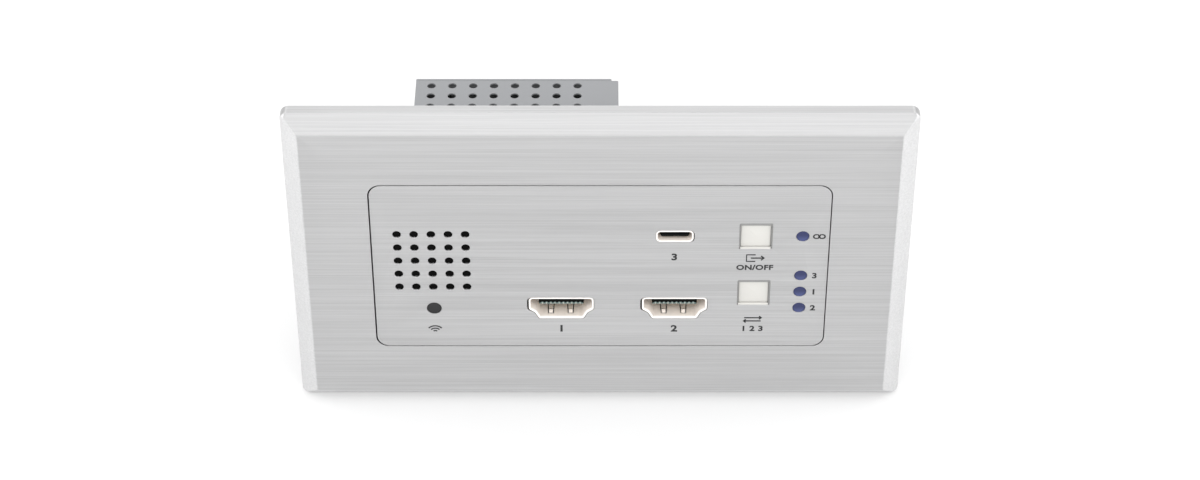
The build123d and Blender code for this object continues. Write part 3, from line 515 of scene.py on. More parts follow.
# Painted shade: both kinds of socket are painted darker inside than at the lip.
shell_look = (0.95, 0.915, 0.88), "y", 0.34, 0.02, 0.002, 0.0
shell_metal = brushed("socket shell", *shell_look)
painted_light_tone(shell_metal, (0.9, 0.86, 0.82), (front + 0.45) * MM, (front + 0.65) * MM)
oval_metal = brushed("oval socket shell", *shell_look)
painted_light_tone(oval_metal, (0.88, 0.83, 0.79), (front + 0.12) * MM, (front + 0.28) * MM)
# Painted highlight: bright metal for thin strips on the tabs' tips, which stand in for the light they
# catch.
tip_highlight_metal = brushed("painted tip highlight", (0.97, 0.96, 0.95), "y", 0.3, 0.02, 0.002)
edge_plastic = grained("tongue edge", (0.13, 0.19, 0.175), 0.5, 2200.0, 0.006, 0.15)
print_ink = grained("print", (0.018, 0.018, 0.019), 0.6, 2600.0, 0.002, 0.15)

slot_materials = {
    "brushed_aluminium": aluminium,
    "spring_steel": brushed("spring steel", (0.5, 0.5, 0.52), "x", 0.3),
    "zinc_steel": grained("zinc", (0.6, 0.61, 0.63), 0.38, 700.0, 0.006, 0.08, metallic=1.0),
    "screw_steel": grained("screw steel", (0.6, 0.6, 0.62), 0.28, 1500.0, 0.003, 0.05, metallic=1.0),
    "filter_foam": grained("foam", (0.003, 0.003, 0.003), 0.95, 2600.0, 0.2, 0.4, specular=0.05),
    "dark_window": grained("dark window", (0.012, 0.012, 0.013), 0.3, 2200.0, 0.002, 0.1, specular=0.4),
    "receiver_black": grained("receiver", (0.02, 0.02, 0.025), 0.2, 1500.0, 0.002, 0.1),
    "lamp_plastic": lamp_plastic,
    "diode_white": grained("diode", (0.8, 0.8, 0.76), 0.45, 1500.0, 0.003, 0.05),
    "button_white": cap_plastic,
    "plunger_white": grained("plunger", (0.75, 0.75, 0.72), 0.45, 1500.0, 0.004, 0.04),
    "switch_black": black_plastic,
    "socket_shell": shell_metal,
    "socket_black": grained("tongue", (0.003, 0.0035, 0.0035), 0.75, 1900.0, 0.004, 0.2, specular=0.08),
    "contact_gold": grained("contact gold", (0.83, 0.63, 0.27), 0.25, 1800.0, 0.002, 0.06, metallic=1.0),
    "board_green": grained("board lacquer", (0.02, 0.12, 0.05), 0.35, 900.0, 0.006, 0.15),
    "spacer_nylon": grained("nylon", (0.78, 0.77, 0.72), 0.45, 1500.0, 0.004, 0.04),
    "plug_black": black_plastic,
    "chip_black": black_plastic,
    "can_silver": brushed("capacitor can", (0.72, 0.72, 0.73), "y", 0.3),
    "thermal_grey": grained("thermal pad", (0.3, 0.36, 0.48), 0.8, 1200.0, 0.02, 0.08),
    "sink_black": grained("black anodised", (0.03, 0.03, 0.033), 0.4, 1800.0, 0.004, 0.15, metallic=0.6),
    "housing_grey": grained("housing paint", (0.236, 0.241, 0.25), 0.55, 2300.0, 0.012, 0.04),
    "jack_screen": brushed("jack screen", (0.72, 0.72, 0.72), "z", 0.26),
    "header_green": grained("header green", (0.03, 0.28, 0.09), 0.45, 1500.0, 0.006, 0.08),
}


def wear(piece, material):
    """Gives a piece this finish and no other."""
    piece.data.materials.clear()
    piece.data.materials.append(material)


for node, slot in slot_of.items():
    wear(frame["nodes"][node], slot_materials[slot])


def dress(piece, node, body="plate"):
    """A piece that stands for a node, in the finish of the node's slot."""
    wear(piece, slot_materials[slot_of[node]])
    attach(piece, body)
    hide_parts(node)


def add(piece, material):
    """A piece on the plate that stands for no node, in a finish of its own."""
    wear(piece, material)
    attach(piece, "plate")


# ---- surround


def make_surround():
    """The surround: rings from the wall over the rim and bevels to its window."""
    plate_depth = -front - rim_depth
    slope = bevel / plate_depth
    wall, face_wall, collar, clip_room = 1.6, 1.8, 1.0, 5.0
    rings = []

    def ring(width, height, radius, y):
        outline = box_outline(width, height, radius, steps=corner_steps)
        rings.append([(x, y, z) for x, z in outline()])

    def rim(inset, y, radius):
        ring(plate_width - 2 * inset, plate_height - 2 * inset, radius, y)

    def window(grow, y):
        room = seam + grow
        ring(panel_width + 2 * room, panel_height + 2 * room, panel_radius + room, y)

    rim(wall, 0.0, 0.6)
    rim(0.25, 0.0, 1.8)
    rim(0.07, -0.07, 1.95)
    rim(0.0, -0.25, 2.0)
    rim(0.0, -rim_depth + 0.25, 2.0)
    rim(0.05, -rim_depth - 0.05, 1.9)
    rim(0.3, -rim_depth - 0.3 / slope, 1.3)
    rim(0.9, -rim_depth - 0.9 / slope, 0.35)
    rim(bevel / 2, -rim_depth - plate_depth / 2, 0.12)
    rim(bevel - 0.2, front + 0.2 / slope, 0.08)
    rim(bevel + 0.02, front + 0.05, 0.08)
    rim(bevel + 0.25, front, 0.08)
    window(0.1, front)
    window(0.03, front + 0.03)
    window(0.0, front + 0.1)
    window(0.0, mount_front)
    window(collar, mount_front)
    window(collar, front + face_wall)
    rim(clip_room, front + face_wall, 0.6)
    rim(wall, -rim_depth + 0.3, 0.6)
    size = len(rings[0])
    rows = [range(index * size, (index + 1) * size) for index in range(len(rings))]
    faces = [face for a, b in pairs(len(rings)) for face in skin(rows[a], rows[b])]
    verts = [point for points in rings for point in points]
    return tidy_mesh("surround_body", verts, faces, surround_crease)


dress(make_surround(), "surround")


# ---- panel

grille_places = [
    (x, z)
    for x in row(grille_x, grille_count, grille_pitch)
    for z in row(grille_z, grille_count, grille_pitch)
]


def video_outline(x, left_room=0.0):
    """A video socket's outline: wide above, with shoulders, and drawn in below."""
    half, top, foot = 15.45 / 2, video_height / 2, 10.6 / 2
    waist, waist_z, shoulder = 6.25, -1.35, -0.35
    left = half + left_room
    points = [
        (-foot, -top), (foot, -top), (waist, waist_z), (half, shoulder), (half, top),
        (-left, top), (-left, shoulder), (-waist, waist_z),
    ]
    radii = [0.7, 0.7, 0.9, 0.9, 1.05, 1.05, 0.9, 0.9]
    return rounded([(x + u, lower_z + v) for u, v in points], radii, 7)


def type_c_outline(right_room=0.0):
    """The type-C socket's outline with round corners."""
    width, height, corner = 8.8 + right_room, 3.38, 1.15
    return box_outline(width, height, corner, type_c_x + right_room / 2, upper_z, 12)


def button_outline(side, z):
    """A square of this side around a button's middle."""
    return box_outline(side, side, 0.3, button_x, z)


def grown(outline, margin):
    """An outline that starts out larger or smaller."""
    return lambda grow: outline(grow + margin)


def make_panel():
    """The panel, a little wider to the right, with soft-edged openings."""
    extra, shift = 0.12, 0.04
    window, grille, lamp, button = 1.77, 1.0, 1.53, 7.75
    holes = [(disc_outline(window, grille_x, lower_z), 0.06, 0.0)]
    holes += [(disc_outline(grille, x, z, fine_steps), 0.08, 0.0) for x, z in grille_places]
    holes += [(disc_outline(lamp, lamp_x, z), 0.12, 0.0) for z in lamp_z.values()]
    holes += [(button_outline(button, z), 0.1, 0.0) for z in button_z.values()]
    holes += [(grown(video_outline(x, 0.28), 0.12), 0.04, 0.0) for x in video_x.values()]
    holes.append((grown(type_c_outline(0.16), 0.06), 0.04, 0.0))
    outline = box_outline(panel_width + extra, panel_height, panel_radius, shift, steps=corner_steps)
    return plate("face_panel_sheet", outline, front, panel_back, 0.1, 0.0, holes)


dress(make_panel(), "face_panel")


# ---- print on the panel: numbers, ON and OFF, and simple signs

ink_y, ink_depth = front - 0.012, 0.03
line_width, barb_turn = 0.38, 140
letter_stretch, small_print, large_print = 1.12, 1.7, 2.1


def stroke(points, closed=False):
    """A printed line through (x, z) points, as a thin slab on the panel."""
    count = len(points)
    verts = []
    for index, (x, z) in enumerate(points):
        before = points[index - 1] if closed or index else points[0]
        after = points[(index + 1) % count] if closed or index < count - 1 else points[-1]
        length = hypot(after[0] - before[0], after[1] - before[1])
        ux, uz = (after[0] - before[0]) / length, (after[1] - before[1]) / length
        for side in (-1, 1):
            edge = (x - side * uz * line_width / 2, z + side * ux * line_width / 2)
            verts += [(edge[0], ink_y, edge[1]), (edge[0], ink_y + ink_depth, edge[1])]
    return band("stroke", verts, closed)


def arc(x, z, radius, start, end, steps=14):
    """Points on an arc between two angles in degrees."""
    turns = [radians(start + (end - start) * step / steps) for step in range(steps + 1)]
    return [(x + radius * cos(turn), z + radius * sin(turn)) for turn in turns]


def arrow_head(x, z, angle, size):
    """An open arrow head whose tip is at a point."""
    ends = [radians(angle + side * barb_turn) for side in (-1, 1)]
    (ax, az), (bx, bz) = [(x + size * cos(turn), z + size * sin(turn)) for turn in ends]
    return stroke([(ax, az), (x, z), (bx, bz)])


def words(text, x, z, height):
    """Figures or words in the built-in letters, as a thin slab of this height."""
    curve = bpy.data.curves.new("words", "FONT")
    curve.body = text
    curve.align_x = "CENTER"
    curve.extrude = 0.01
    curve.offset = 0.04
    curve.space_character = 1.06
    curve.resolution_u = 4
    source = new_piece("letters", curve)
    mesh = settled(source)
    bpy.data.objects.remove(source)
    tops = [vert.co.y for vert in mesh.vertices]
    scale = height / (max(tops) - min(tops))
    middle = (max(tops) + min(tops)) / 2
    for vert in mesh.vertices:
        u, v, w = vert.co
        y = ink_y if w > 0 else ink_y + ink_depth
        vert.co = Vector((x + u * scale * letter_stretch, y, z + (v - middle) * scale)) * MM
    crisp(mesh)
    return new_piece("words", mesh)


def link_sign(x, z):
    """Two links of a chain, as one loop that crosses itself."""
    radius, away, cross = 0.55, 0.78, 0.3
    left = arc(x - away, z, radius, 90, 270) + [(x - cross, z - radius), (x + cross, z + radius)]
    right = arc(x + away, z, radius, 90, -90) + [(x + cross, z - radius), (x - cross, z + radius)]
    return [stroke(left + right, closed=True)]


def output_sign(x, z):
    """A frame with an arrow that leaves it."""
    frame_line = [(x + 0.1, z + 1.0), (x - 2.0, z + 1.0), (x - 2.0, z - 1.0), (x + 0.1, z - 1.0)]
    return [stroke(frame_line), stroke([(x - 1.0, z), (x + 2.0, z)]), arrow_head(x + 2.15, z, 0, 1.0)]


def cycle_sign(x, z):
    """Two arrows that point opposite ways."""
    lines = []
    for side in (-1, 1):
        lines.append(stroke([(x - side * 2.0, z + side * 0.5), (x + side * 2.0, z + side * 0.5)]))
        lines.append(arrow_head(x + side * 2.15, z + side * 0.5, 90 - side * 90, 0.75))
    return lines


def wave_sign(x, z):
    """Three waves that reach the window from below."""
    return [stroke(arc(x, z - 1.2, radius, 40, 140, 8)) for radius in (0.55, 1.3, 2.05)]


signs = {
    "link_print": link_sign(51.2, upper_z),
    "output_print": output_sign(button_x, 2.95),
    "switch_print": [words("ON/OFF", button_x, 0.1, 1.6)],
    "auto_print": cycle_sign(button_x, -16.1),
    "auto_inputs_print": [words("1 2 3", button_x, -19.0, small_print)],
    "remote_print": wave_sign(grille_x, -19.0),
    "type_c_print": [words("3", type_c_x, 3.3, large_print)],
}
for figure, (name, x) in zip("12", video_x.items()):
    signs[name + "_print"] = [words(figure, x, -18.95, large_print)]
for figure, name in zip("312", ("type_c", "video_1", "video_2")):
    signs[name + "_lamp_print"] = [words(figure, 50.6, lamp_z[name], small_print)]
for name, strokes in signs.items():
    add(join(name, strokes), print_ink)


# ---- window, lamps and buttons

window_profile = [
    (0.0, front + 0.06), (1.3, front + 0.06), (1.45, front + 0.03), (1.64, front + 0.03),
    (1.72, front + 0.12), (1.72, panel_back), (2.4, panel_back), (2.4, panel_back + 0.7),
    (0.0, panel_back + 0.7),
]
dress(turned("remote_window_disc", window_profile, round_steps, grille_x, lower_z), "remote_window")
lamp_profile = [
    (0.0, front + 0.14), (1.36, front + 0.13), (1.46, front + 0.15), (1.5, front + 0.24),
    (1.5, panel_back), (2.1, panel_back), (2.1, panel_back + 0.7), (1.3, panel_back + 0.7),
    (1.3, -1.4), (0.0, -1.4),
]
for name, z in lamp_z.items():
    dress(turned(name + "_lamp_disc", lamp_profile, round_steps, lamp_x, z), name + "_lamp_lens")
# The black dust filter sits behind the grille. Its pegs fill the holes nearly to the front, as painted
# shade that makes the holes look black.
peg_profile = [
    (0.0, front + 0.2), (0.8, front + 0.22), (0.98, front + 0.4), (0.98, panel_back), (0.0, panel_back),
]
foam = [bar("sheet", about(grille_x, 10.6), (panel_back, -3.8), about(grille_z, 10.6), 0.05)]
foam += [turned("peg", peg_profile, small_steps, x, z) for x, z in grille_places]
dress(join("dust_filter_foam", foam), "dust_filter")
# Painted shade: a grey frame in the gap above and beside each cap.
frame_out, frame_in, frame_soft = 3.87, 3.56, 0.05
cap_side, cap_front, flange_side = 7.05, -5.75, 9.0
for name, z in button_z.items():
    y_span = (front + 0.25, front + 0.58)
    side_z = (z - frame_out, z + 3.1)
    strips = [
        bar("top", about(button_x, frame_out), y_span, (z + 3.05, z + frame_out), frame_soft),
        bar("left", (button_x - frame_out, button_x - frame_in), y_span, side_z, frame_soft),
        bar("right", (button_x + frame_in, button_x + frame_out), y_span, side_z, frame_soft),
    ]
    add(join(name + "_button_shade_frame", strips), button_shade_plastic)
    sill_y, sill_z = (front + 0.1, front + 0.6), (z - frame_out, z - 3.42)
    sill = bar(name + "_button_sill", about(button_x, frame_in), sill_y, sill_z, frame_soft)
    add(sill, cap_plastic)
    cap_face = plate("cap", button_outline(cap_side, z), cap_front, -4.5, 0.16)
    flange = plate("flange", button_outline(flange_side, z), -4.45, -3.65, 0.1, 0.1)
    cap = join(name + "_button_key", [cap_face, flange])
    dress(cap, name + "_button_cap", name + "_button")


# ---- video sockets

video_floor = lower_z - video_height / 2
tongue_top = lower_z + video_height / 2 - video_wall - 0.95
tongue_low = tongue_top - 1.35
tongue_front, tongue_back = front + 1.1, 2.7
tab_front, tab_back = front + 1.7, front + 7.1
slit_tip, slit_root, tab_root, tab_taper = 0.7, 0.95, 0.72, 0.26
tab_thickness, tab_steps, tab_start, tab_rise, tab_bump = 0.3, 18, 0.25, 0.12, 0.4
tip_points, tip_rise, tip_thickness = 5, 0.02, 0.1
contact_pitch = 1.0


def make_video_shell(name, x):
    """A folded shell with a rounded lip, and two spring tabs in slits of its floor, with a thin bright
    strip on each tab's tip as a painted highlight.
    """
    hole = (grown(video_outline(x), -video_wall), (0.16, 0.6), 0.0)
    shell = plate(name, video_outline(x), front, socket_end, 0.1, 0.0, [hole])
    cutters, tabs, tips = [], [], []
    z = video_floor + 0.12
    for side, away in ((-1, 2.5), (1, 2.2)):
        middle = x + side * away
        (tip_left, tip_right), (left, right) = about(middle, slit_tip), about(middle, slit_root)
        tip_y = tab_front - 0.3
        points = [(tip_left, tip_y), (tip_right, tip_y), (right, tab_back), (left, tab_back)]
        slit = rounded(points, 0.1, 3)
        rings = [(0.0, video_floor - 0.3), (0.0, video_floor + 0.68)]
        cutters.append(solid("slit", [(slit, rings, "outside")], level))
        path, spans = [], []
        for step in range(tab_steps + 1):
            y = tab_back + tab_start + (tab_front - tab_back - tab_start) * step / tab_steps
            reach = max(0.0, 1 - abs(y - (tab_front + 0.62)) / 0.75)
            rise = tab_bump * (1 - cos(pi * reach)) / 2 + tab_rise * min(1.0, (tab_back - y) / 3.6)
            share = (tab_back - y) / (tab_back - tab_front)
            path.append((y, z + max(rise, 0.0)))
            half = (tab_root - tab_taper * share) * side
            spans.append((middle + half, middle - half))
        tabs.append(strip("tab", path, spans, tab_thickness))
        # Painted highlight: a thin strip of bright metal over the front of each tab's tip.
        tip_path = [(y, height + tip_rise) for y, height in path[-tip_points:]]
        tips.append(strip("tip", tip_path, spans[-tip_points:], tip_thickness))
    cut(shell, cutters)
    return join(name, [shell] + tabs), join(name + "_tab_tip_highlights", tips)


def make_video_tongue(name, x):
    """The dark tongue, with teeth on its edge, and the base behind it."""
    base = plate("base", grown(video_outline(x), -video_wall - 0.05), 2.6, socket_end, 0.15)
    tongue = bar("tongue", about(x, 5.35), (tongue_front, tongue_back), (tongue_low, tongue_top), 0.12)
    tooth = [
        (0.0, tongue_front - 0.05), (0.3, tongue_front - 0.05), (0.34, tongue_front),
        (0.34, tongue_front + 0.2), (0.0, tongue_front + 0.2),
    ]
    teeth = [turned("tooth", tooth, 16, u, tongue_low + 0.68) for u in row(x, 11, contact_pitch)]
    return join(name, [base, tongue] + teeth)


for name, x in video_x.items():
    shell, tips = make_video_shell(name + "_lip_shell", x)
    dress(shell, name + "_shell")
    add(tips, tip_highlight_metal)
    dress(make_video_tongue(name + "_tongue_body", x), name + "_tongue")
    y_span, z_span = (tongue_front - 0.03, tongue_front + 0.2), (tongue_low + 0.06, tongue_low + 0.66)
    edge = bar(name + "_tongue_edge", about(x, 5.2), y_span, z_span, 0.02)
    add(edge, edge_plastic)
    y_span, z_span = (tongue_front - 0.06, tongue_front + 0.1), (tongue_low + 0.16, tongue_low + 0.34)
    ends = [bar("end", about(u, 0.13), y_span, z_span, 0.03) for u in row(x, 10, contact_pitch)]
    add(join(name + "_contact_tips", ends), shell_metal)


# ---- type-C socket


def make_type_c_tongue():
    """The thin tongue with drawn-in front corners, and the base behind it."""
    base = plate("base", grown(type_c_outline(), -type_c_wall - 0.05), 1.6, socket_end, 0.12)
    tip, shoulder, back, tip_half, half = front + 0.5, front + 1.4, 1.7, 3.1, 3.48
    (tip_left, tip_right), (left, right) = about(type_c_x, tip_half), about(type_c_x, half)
    points = [
        (tip_left, tip), (tip_right, tip), (right, shoulder), (right, back), (left, back),
        (left, shoulder),
    ]
    rings = soft_profile(*about(upper_z, 0.35), 0.08, 0.08, steps=1)
    tongue = solid("tongue", [(rounded(points, 0.12, 3), rings, "outside")], level)
    return join("type_c_tongue_body", [base, tongue])


type_c_hole = (grown(type_c_outline(), -type_c_wall), (0.12, 0.25), 0.0)
oval_shell = plate("type_c_lip_shell", type_c_outline(), front, socket_end, 0.1, 0.0, [type_c_hole])
dress(oval_shell, "type_c_shell")
wear(oval_shell, oval_metal)
dress(make_type_c_tongue(), "type_c_tongue")
strips = [
    bar("strip", about(x, 0.14), (front + 1.5, 1.6), (z, z + 0.1), 0.02)
    for x in row(type_c_x, 12, 0.5)
    for z in (upper_z + 0.33, upper_z - 0.43)
]
dress(join("type_c_contact_strips", strips), "type_c_contacts")


# ---- screws


def cross_recess(reach, width, top, depth):
    """The cross-shaped recess of a head that faces the back."""
    y_span = (top - depth, top + beyond)
    across, along = about(0.0, width / 2), about(0.0, reach)
    return [bar("arm", along, y_span, across), bar("arm", across, y_span, along)]


def screws(name, node, profile, places, reach=1.15, width=0.42, depth=0.75):
    """Screws with a cross recess, from (radius, y) pairs that start at the head's face."""
    recess = cross_recess(reach, width, profile[0][1], depth)
    dress(repeated(name, cut(turned("screw", profile, 32), recess), places), node)


def four(x_places, z):
    """Places at these columns, above and below."""
    return [(x, 0.0, side * z) for x in x_places for side in (-1, 1)]


flat_profile = [
    (0.0, 0.0), (1.95, 0.0), (2.14, -0.07), (2.14, -0.14), (1.2, -1.0), (1.2, -2.6), (0.0, -2.6),
]
cover_columns = (vented_left + sheet + 6.0, vented_right - sheet - 6.0)
cover_places = [(x, housing_depth, z) for x, y, z in four(cover_columns, inner_half - 3.0)]
panel_places = four((-screw_x, screw_x), screw_z)
screws("cover_flat_screws", "cover_screws", flat_profile, cover_places)
screws("panel_flat_screws", "panel_screws", flat_profile, panel_places)
quarter = (vented_right - vented_left) / 4
housing_columns = (
    vented_left + quarter, vented_right - quarter, vented_right + quarter, connector_right - quarter,
)
pan_profile = [
    (0.0, 2.28), (0.9, 2.25), (1.45, 2.12), (1.85, 1.86), (2.06, 1.5), (2.1, 1.2), (2.1, 1.0),
    (1.2, 1.0), (1.2, mount_front), (0.0, mount_front),
]
housing_places = four(housing_columns, housing_height / 2 + flange_reach / 2)
screws("housing_pan_screws", "housing_screws", pan_profile, housing_places)
earth_profile = [
    (0.0, 23.5), (1.7, 23.46), (2.7, 23.25), (3.3, 22.85), (3.58, 22.3), (3.6, 21.9), (3.6, 21.3),
    (4.3, 21.3), (4.4, 21.2), (4.4, 20.6), (4.3, 20.5), (1.9, 20.5), (1.9, 15.9), (0.0, 15.9),
]
screws("earth_pan_screw", "earth_screw", earth_profile, [(jack_x, 0.0, earth_z)], 2.1, 0.75, 1.3)


# ---- mounting plate


def screw_holes(places, rings):
    """Round holes with a widened mouth at these places."""
    return [(disc_outline(screw_hole, x, z, fine_steps), rings, "hole") for x, y, z in places]


def make_mounting_plate():
    """The steel plate with slots for wall screws and folded catches for clips."""
    catch_x, catch_near, catch_far, wall_slot_x = 40.0, 35.5, 37.0, 60.3
    width, height, corner = 134.0, 74.0, 3.0
    outline = box_outline(width, height, corner, steps=corner_steps)
    edge = soft_profile(mount_front, 0.0, 0.12, 0.12)
    openings = [box_outline(95.65, 34.3, 0.4, 4.625, -1.15)]
    openings += [box_outline(8.0, 4.2, 2.09, x, 0.0, 10) for x in (-wall_slot_x, wall_slot_x)]
    loops = [(outline, soft_profile(mount_front, 0.0, 0.15, 0.15), "outside")]
    loops += [(opening, edge, "hole") for opening in openings]
    loops += screw_holes(panel_places, [(0.0, mount_front), (0.0, -1.0), (1.0, 0.0)])
    pieces = [solid("sheet", loops)]
    for x in (-catch_x, catch_x):
        for side in (-1, 1):
            tab, gap = box_outline(12.0, 2.45, 0.3, x, -2.675), box_outline(10.6, 1.3, 0.15, x, -2.7)
            rings = soft_profile(side * catch_near, side * catch_far, 0.1, 0.1)
            pieces.append(solid("catch", [(tab, rings, "outside"), (gap, rings, "hole")], level))
    return join("mounting_plate_sheet", pieces)


dress(make_mounting_plate(), "mounting_plate")


# ---- housings

fold, sheet_edge, melt_depth, hair = 0.25, 0.12, 0.3, 0.005
vent_radius = 1.02
vent_columns, first_column, column_pitch = 8, 3.8, 5.0
vent_lines, first_line, line_pitch = 4, 2.85, 4.05
slot_width, slot_length = 2.4, 16.0


def folded_walls(name, left, right, depth):
    """Four walls of folded sheet, open in front and behind."""
    middle = (left + right) / 2
    outer = box_outline(right - left, housing_height, fold, middle)
    inner = box_outline(right - left - 2 * sheet, housing_height - 2 * sheet, 0.1, middle)
    return plate(name, outer, 0.0, depth, 0.0, sheet_edge, [(inner, 0.0, sheet_edge)])


def strips_along(name, x_span, y_span, tip, soft=0.0):
    """Strips above and below, from inside a housing's walls to this height."""
    root = inner_half + melt_depth
    return [bar(name, x_span, y_span, sorted((side * root, side * tip)), soft) for side in (-1, 1)]


def flanges(left, right):
    """The strips of a housing that lie against the mounting plate."""
    tip = housing_height / 2 + flange_reach
    return strips_along("flange", (left, right), (0.0, sheet), tip, sheet_edge)


def make_vented_box():
    """The deep box, with round vents above and slots below."""
    box = folded_walls("vented_box_sheet", vented_left, vented_right, vented_end)
    lip_x, lip_y = (vented_left + 0.5, vented_right - 0.5), (vented_end - sheet, vented_end - hair)
    lips = strips_along("lip", lip_x, lip_y, inner_half - 6.0)
    melt(box, flanges(vented_left + 0.01, vented_right - 0.01) + lips)
    side_x = (vented_right - sheet - 0.01, vented_right + beyond)
    cutters = [bar("side", side_x, (-beyond, 9.0), about(0.0, inner_half))]
    top, low = housing_height / 2 + beyond, inner_half - beyond
    slot_y = (board_back + vented_end) / 2
    lip = housing_height / 2 - 0.35
    vent_rings = [(-0.8, low), (-0.8, lip - 0.1), (0.0, lip), (0.0, top)]
    for column in range(vent_columns):
        x = vented_left + first_column + column * column_pitch
        for line in range(vent_lines):
            y = housing_depth - first_line - line * line_pitch
            vent = disc_outline(vent_radius, x, y, small_steps)
            cutters.append(solid("vent", [(vent, vent_rings, "outside")], level))
        slot = box_outline(slot_width, slot_length, 0.8, x, slot_y, 5)
        cutters.append(solid("slot", [(slot, [(0.0, -top), (0.0, -low)], "outside")], level))
    for x, y, z in cover_places:
        drill = [(0.0, 30.0), (screw_hole, 30.0), (screw_hole, 34.0), (0.0, 34.0)]
        cutters.append(turned("drill", drill, 20, x, z))
    return cut(box, cutters)


dress(make_vented_box(), "vented_box")

cover_right = vented_right - 1.65
cover = box_outline(cover_right - vented_left, housing_height, fold, (cover_right + vented_left) / 2)
cover_loops = [(cover, soft_profile(vented_end, housing_depth, 0.0, 0.08), "outside")]
cover_sunk = [(0.0, vented_end), (0.15, vented_end + 0.05), (1.0, housing_depth)]
cover_loops += screw_holes(cover_places, cover_sunk)
dress(solid("rear_cover_sheet", cover_loops), "rear_cover")


def jack_outline(room, corner):
    """The network jack's outline, this much wider and higher."""
    return box_outline(jack_width + room, jack_height + room, corner, jack_x, jack_z)


def header_outline(poles, z, room, corner):
    """A header's outline for so many wires, this much wider and higher."""
    width = poles * header_pitch + 1.3 + room
    return box_outline(width, header_height + room, corner, header_x, z)


def make_connector_box():
    """The shallow box with a cut-out for each connector."""
    left = vented_right - 12.1
    box = folded_walls("connector_box_sheet", left, connector_right, connector_depth)
    side_y, side_z = (-beyond, connector_depth + beyond), about(0.0, housing_height / 2 + beyond)
    cut(box, [bar("side", (left - beyond, vented_right), side_y, side_z)])
    wall_x = (vented_right, connector_right - 0.5)
    wall_y = (connector_depth - sheet, connector_depth - hair)
    wall = bar("wall", wall_x, wall_y, about(0.0, inner_half + 0.4))
    melt(box, [wall] + flanges(vented_right, connector_right - 0.01))
    outlines = [jack_outline(cut_room, 0.5)]
    outlines += [header_outline(poles, z, cut_room, 0.4) for poles, z in headers.values()]
    outlines.append(disc_outline(2.0, jack_x, earth_z, small_steps))
    through = (connector_depth - 3.0, connector_depth + beyond)
    return cut(box, [plate("opening", outline, *through) for outline in outlines])


dress(make_connector_box(), "connector_box")


# ---- network jack and headers

jack_end = connector_depth + 0.5
socket_top = 4.65
wire_pitch = 1.02
jack_hole = (jack_outline(-0.8, 0.3), 0.12, 0.0)
outline = jack_outline(0.0, 0.55)
screen = plate("network_jack_screen", outline, jack_end, board_back, 0.16, 0.0, [jack_hole])
dress(screen, "network_jack_shell")


def make_jack_insert():
    """The jack's plastic inside, with a stepped socket and a comb over the wires."""
    top, low, step, key = socket_top, -2.25, -3.95, -5.35
    points = [(5.95, top), (5.95, low), (3.1, low), (3.1, step), (1.7, step), (1.7, key)]
    points += [(-u, v) for u, v in points[::-1]]
    socket = [(jack_x + u, jack_z + v) for u, v in points]
    face = jack_end - 0.4
    loops = [
        (jack_outline(-0.9, 0.25), soft_profile(face, board_back, 0.1), "outside"),
        (lambda grow: socket, [(0.0, face), (0.0, board_back + 2.4)], "pocket"),
    ]
    y_span, z_span = (board_back + 2.3, face - 0.5), (jack_z + top - 0.7, jack_z + top + 0.1)
    comb = [bar("rib", about(x, 0.2), y_span, z_span, 0.05) for x in row(jack_x, 9, wire_pitch)]
    return join("network_jack_body", [solid("body", loops)] + comb)


dress(make_jack_insert(), "network_jack_insert")

wire_z = jack_z + socket_top - 0.3
wire_bends = ((20.2, 0.0), (18.0, 0.0), (17.5, -0.05), (17.0, -0.22), (12.7, -1.72))
wire_path = [(y, wire_z + z) for y, z in wire_bends]
wires = [
    strip("wire", wire_path, [about(x, 0.22)] * len(wire_path), 0.3) for x in row(jack_x, 8, wire_pitch)
]
dress(join("network_jack_wires", wires), "network_jack_contacts")

pins = []
header_rings = [(0.25, header_end), (0.0, header_end - 0.25), (0.0, header_floor)]
pin_rings = [(0.32, header_end - 1.8), (0.0, header_end - 2.5), (0.0, header_floor - 0.1)]
rib_y = (header_floor - 0.1, header_end - 0.5)
for name, (poles, z) in headers.items():
    loops = [
        (header_outline(poles, z, 0.0, 0.3), soft_profile(header_end, board_back, 0.15), "outside"),
        (header_outline(poles, z, -2 * header_wall, 0.2), header_rings, "pocket"),
    ]
    pieces = [solid(name + "_body", loops)]
    for x in row(header_x, poles, header_pitch):
        pieces.append(bar("rib", about(x, 0.4), rib_y, (z + 2.3, z + 2.9), 0.08))
        pins.append(solid("pin", [(box_outline(1.0, 1.0, 0.1, x, z, 3), pin_rings, "outside")]))
    dress(join(name + "_shroud", pieces), name)
dress(join("header_square_pins", pins), "header_pins")


# ---- camera, light and floor

# Soft lights that point at the object: place in metres, width, height and radiance.
lights = {
    "left light": ((-0.8, -0.1, 0.35), 1.1, 0.85, 1.65),
    "right light": ((0.8, -0.1, 0.35), 1.1, 0.85, 1.75),
    "front light": ((0.0, -0.8, 0.84), 1.1, 0.75, 1.8),
    "back light": ((0.0, 0.8, 0.75), 0.8, 0.8, 1.0),
}
white = (1, 1, 1, 1)
floor_z, floor_half = -43.05, 4000.0

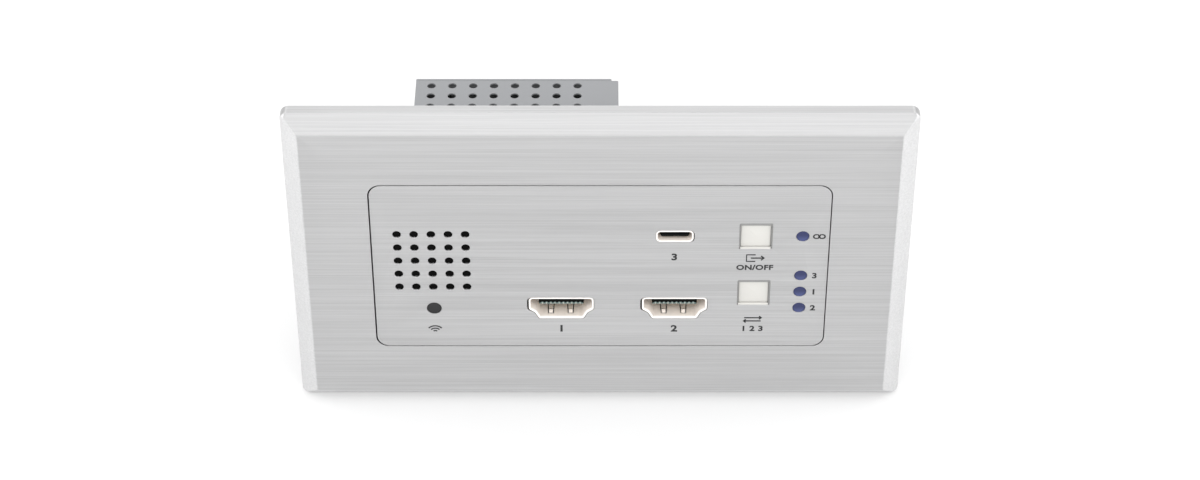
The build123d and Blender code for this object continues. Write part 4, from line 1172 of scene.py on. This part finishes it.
camera_data = bpy.data.cameras.new("camera")
camera_data.sensor_width, camera_data.lens = 36.0, 87.29
camera_data.clip_start, camera_data.clip_end = 0.01, 20.0
camera = new_piece("camera", camera_data)
camera.location = Vector((-0.023, -531.37, 440.64)) * MM
camera.rotation_euler = (radians(50.537), 0.0, 0.0)
scene.camera = camera

for name, (place, width, height, radiance) in lights.items():
    data = bpy.data.lights.new(name, "AREA")
    data.shape = "RECTANGLE"
    data.size, data.size_y = width, height
    data.energy = radiance * pi * width * height
    light = new_piece(name, data)
    light.location = place
    light.rotation_euler = (-Vector(place)).to_track_quat("-Z", "Y").to_euler()


def by_sight(tree, unseen, seen):
    """A strength for diffuse rays, and one for what the camera, metal and glass show."""
    rays = shader_node(tree, "LightPath", {}).outputs
    total = rays["Is Camera Ray"]
    for kind in ("Is Glossy Ray", "Is Transmission Ray"):
        higher = shader_node(tree, "Math", {0: total, 1: rays[kind]}, operation="MAXIMUM")
        total = higher.outputs["Value"]
    return spread(tree, total, 0.0, 1.0, unseen, seen)


world = bpy.data.worlds.new("studio")
scene.world = world
world.use_nodes = True
background = world.node_tree.nodes["Background"]
air_light = by_sight(world.node_tree, unseen=0.93, seen=1.0)
feed(background, {"Color": white, "Strength": air_light})

corners = [(x * floor_half, y * floor_half, floor_z) for x, y in ((-1, -1), (1, -1), (1, 1), (-1, 1))]
floor = tidy_mesh("floor", corners, [(0, 1, 2, 3)])
floor_mat, floor_tree, floor_shader = new_material("floor")
# Painted shade about the object: the floor's glow grows from 0.2 m to 0.65 m away from the origin, so
# the floor near the object is painted darker than far off.
reach = shader_node(floor_tree, "VectorMath", {0: position(floor_tree)}, operation="LENGTH")
painted_far_glow = spread(
    floor_tree, reach.outputs["Value"], start=0.2, end=0.65, low=1.0, high=2.1,
    interpolation_type="SMOOTHSTEP",
)
near_glow = by_sight(floor_tree, unseen=0.18, seen=0.285)
glow = shader_node(floor_tree, "Math", {0: near_glow, 1: painted_far_glow}, operation="MULTIPLY")
feed(floor_shader, {
    "Base Color": (0.55, 0.55, 0.55, 1),
    "Roughness": 0.9,
    "Specular IOR Level": 0.1,
    "Emission Color": white,
    "Emission Strength": glow.outputs["Value"],
})
wear(floor, floor_mat)

scene.view_settings.view_transform = "Standard"
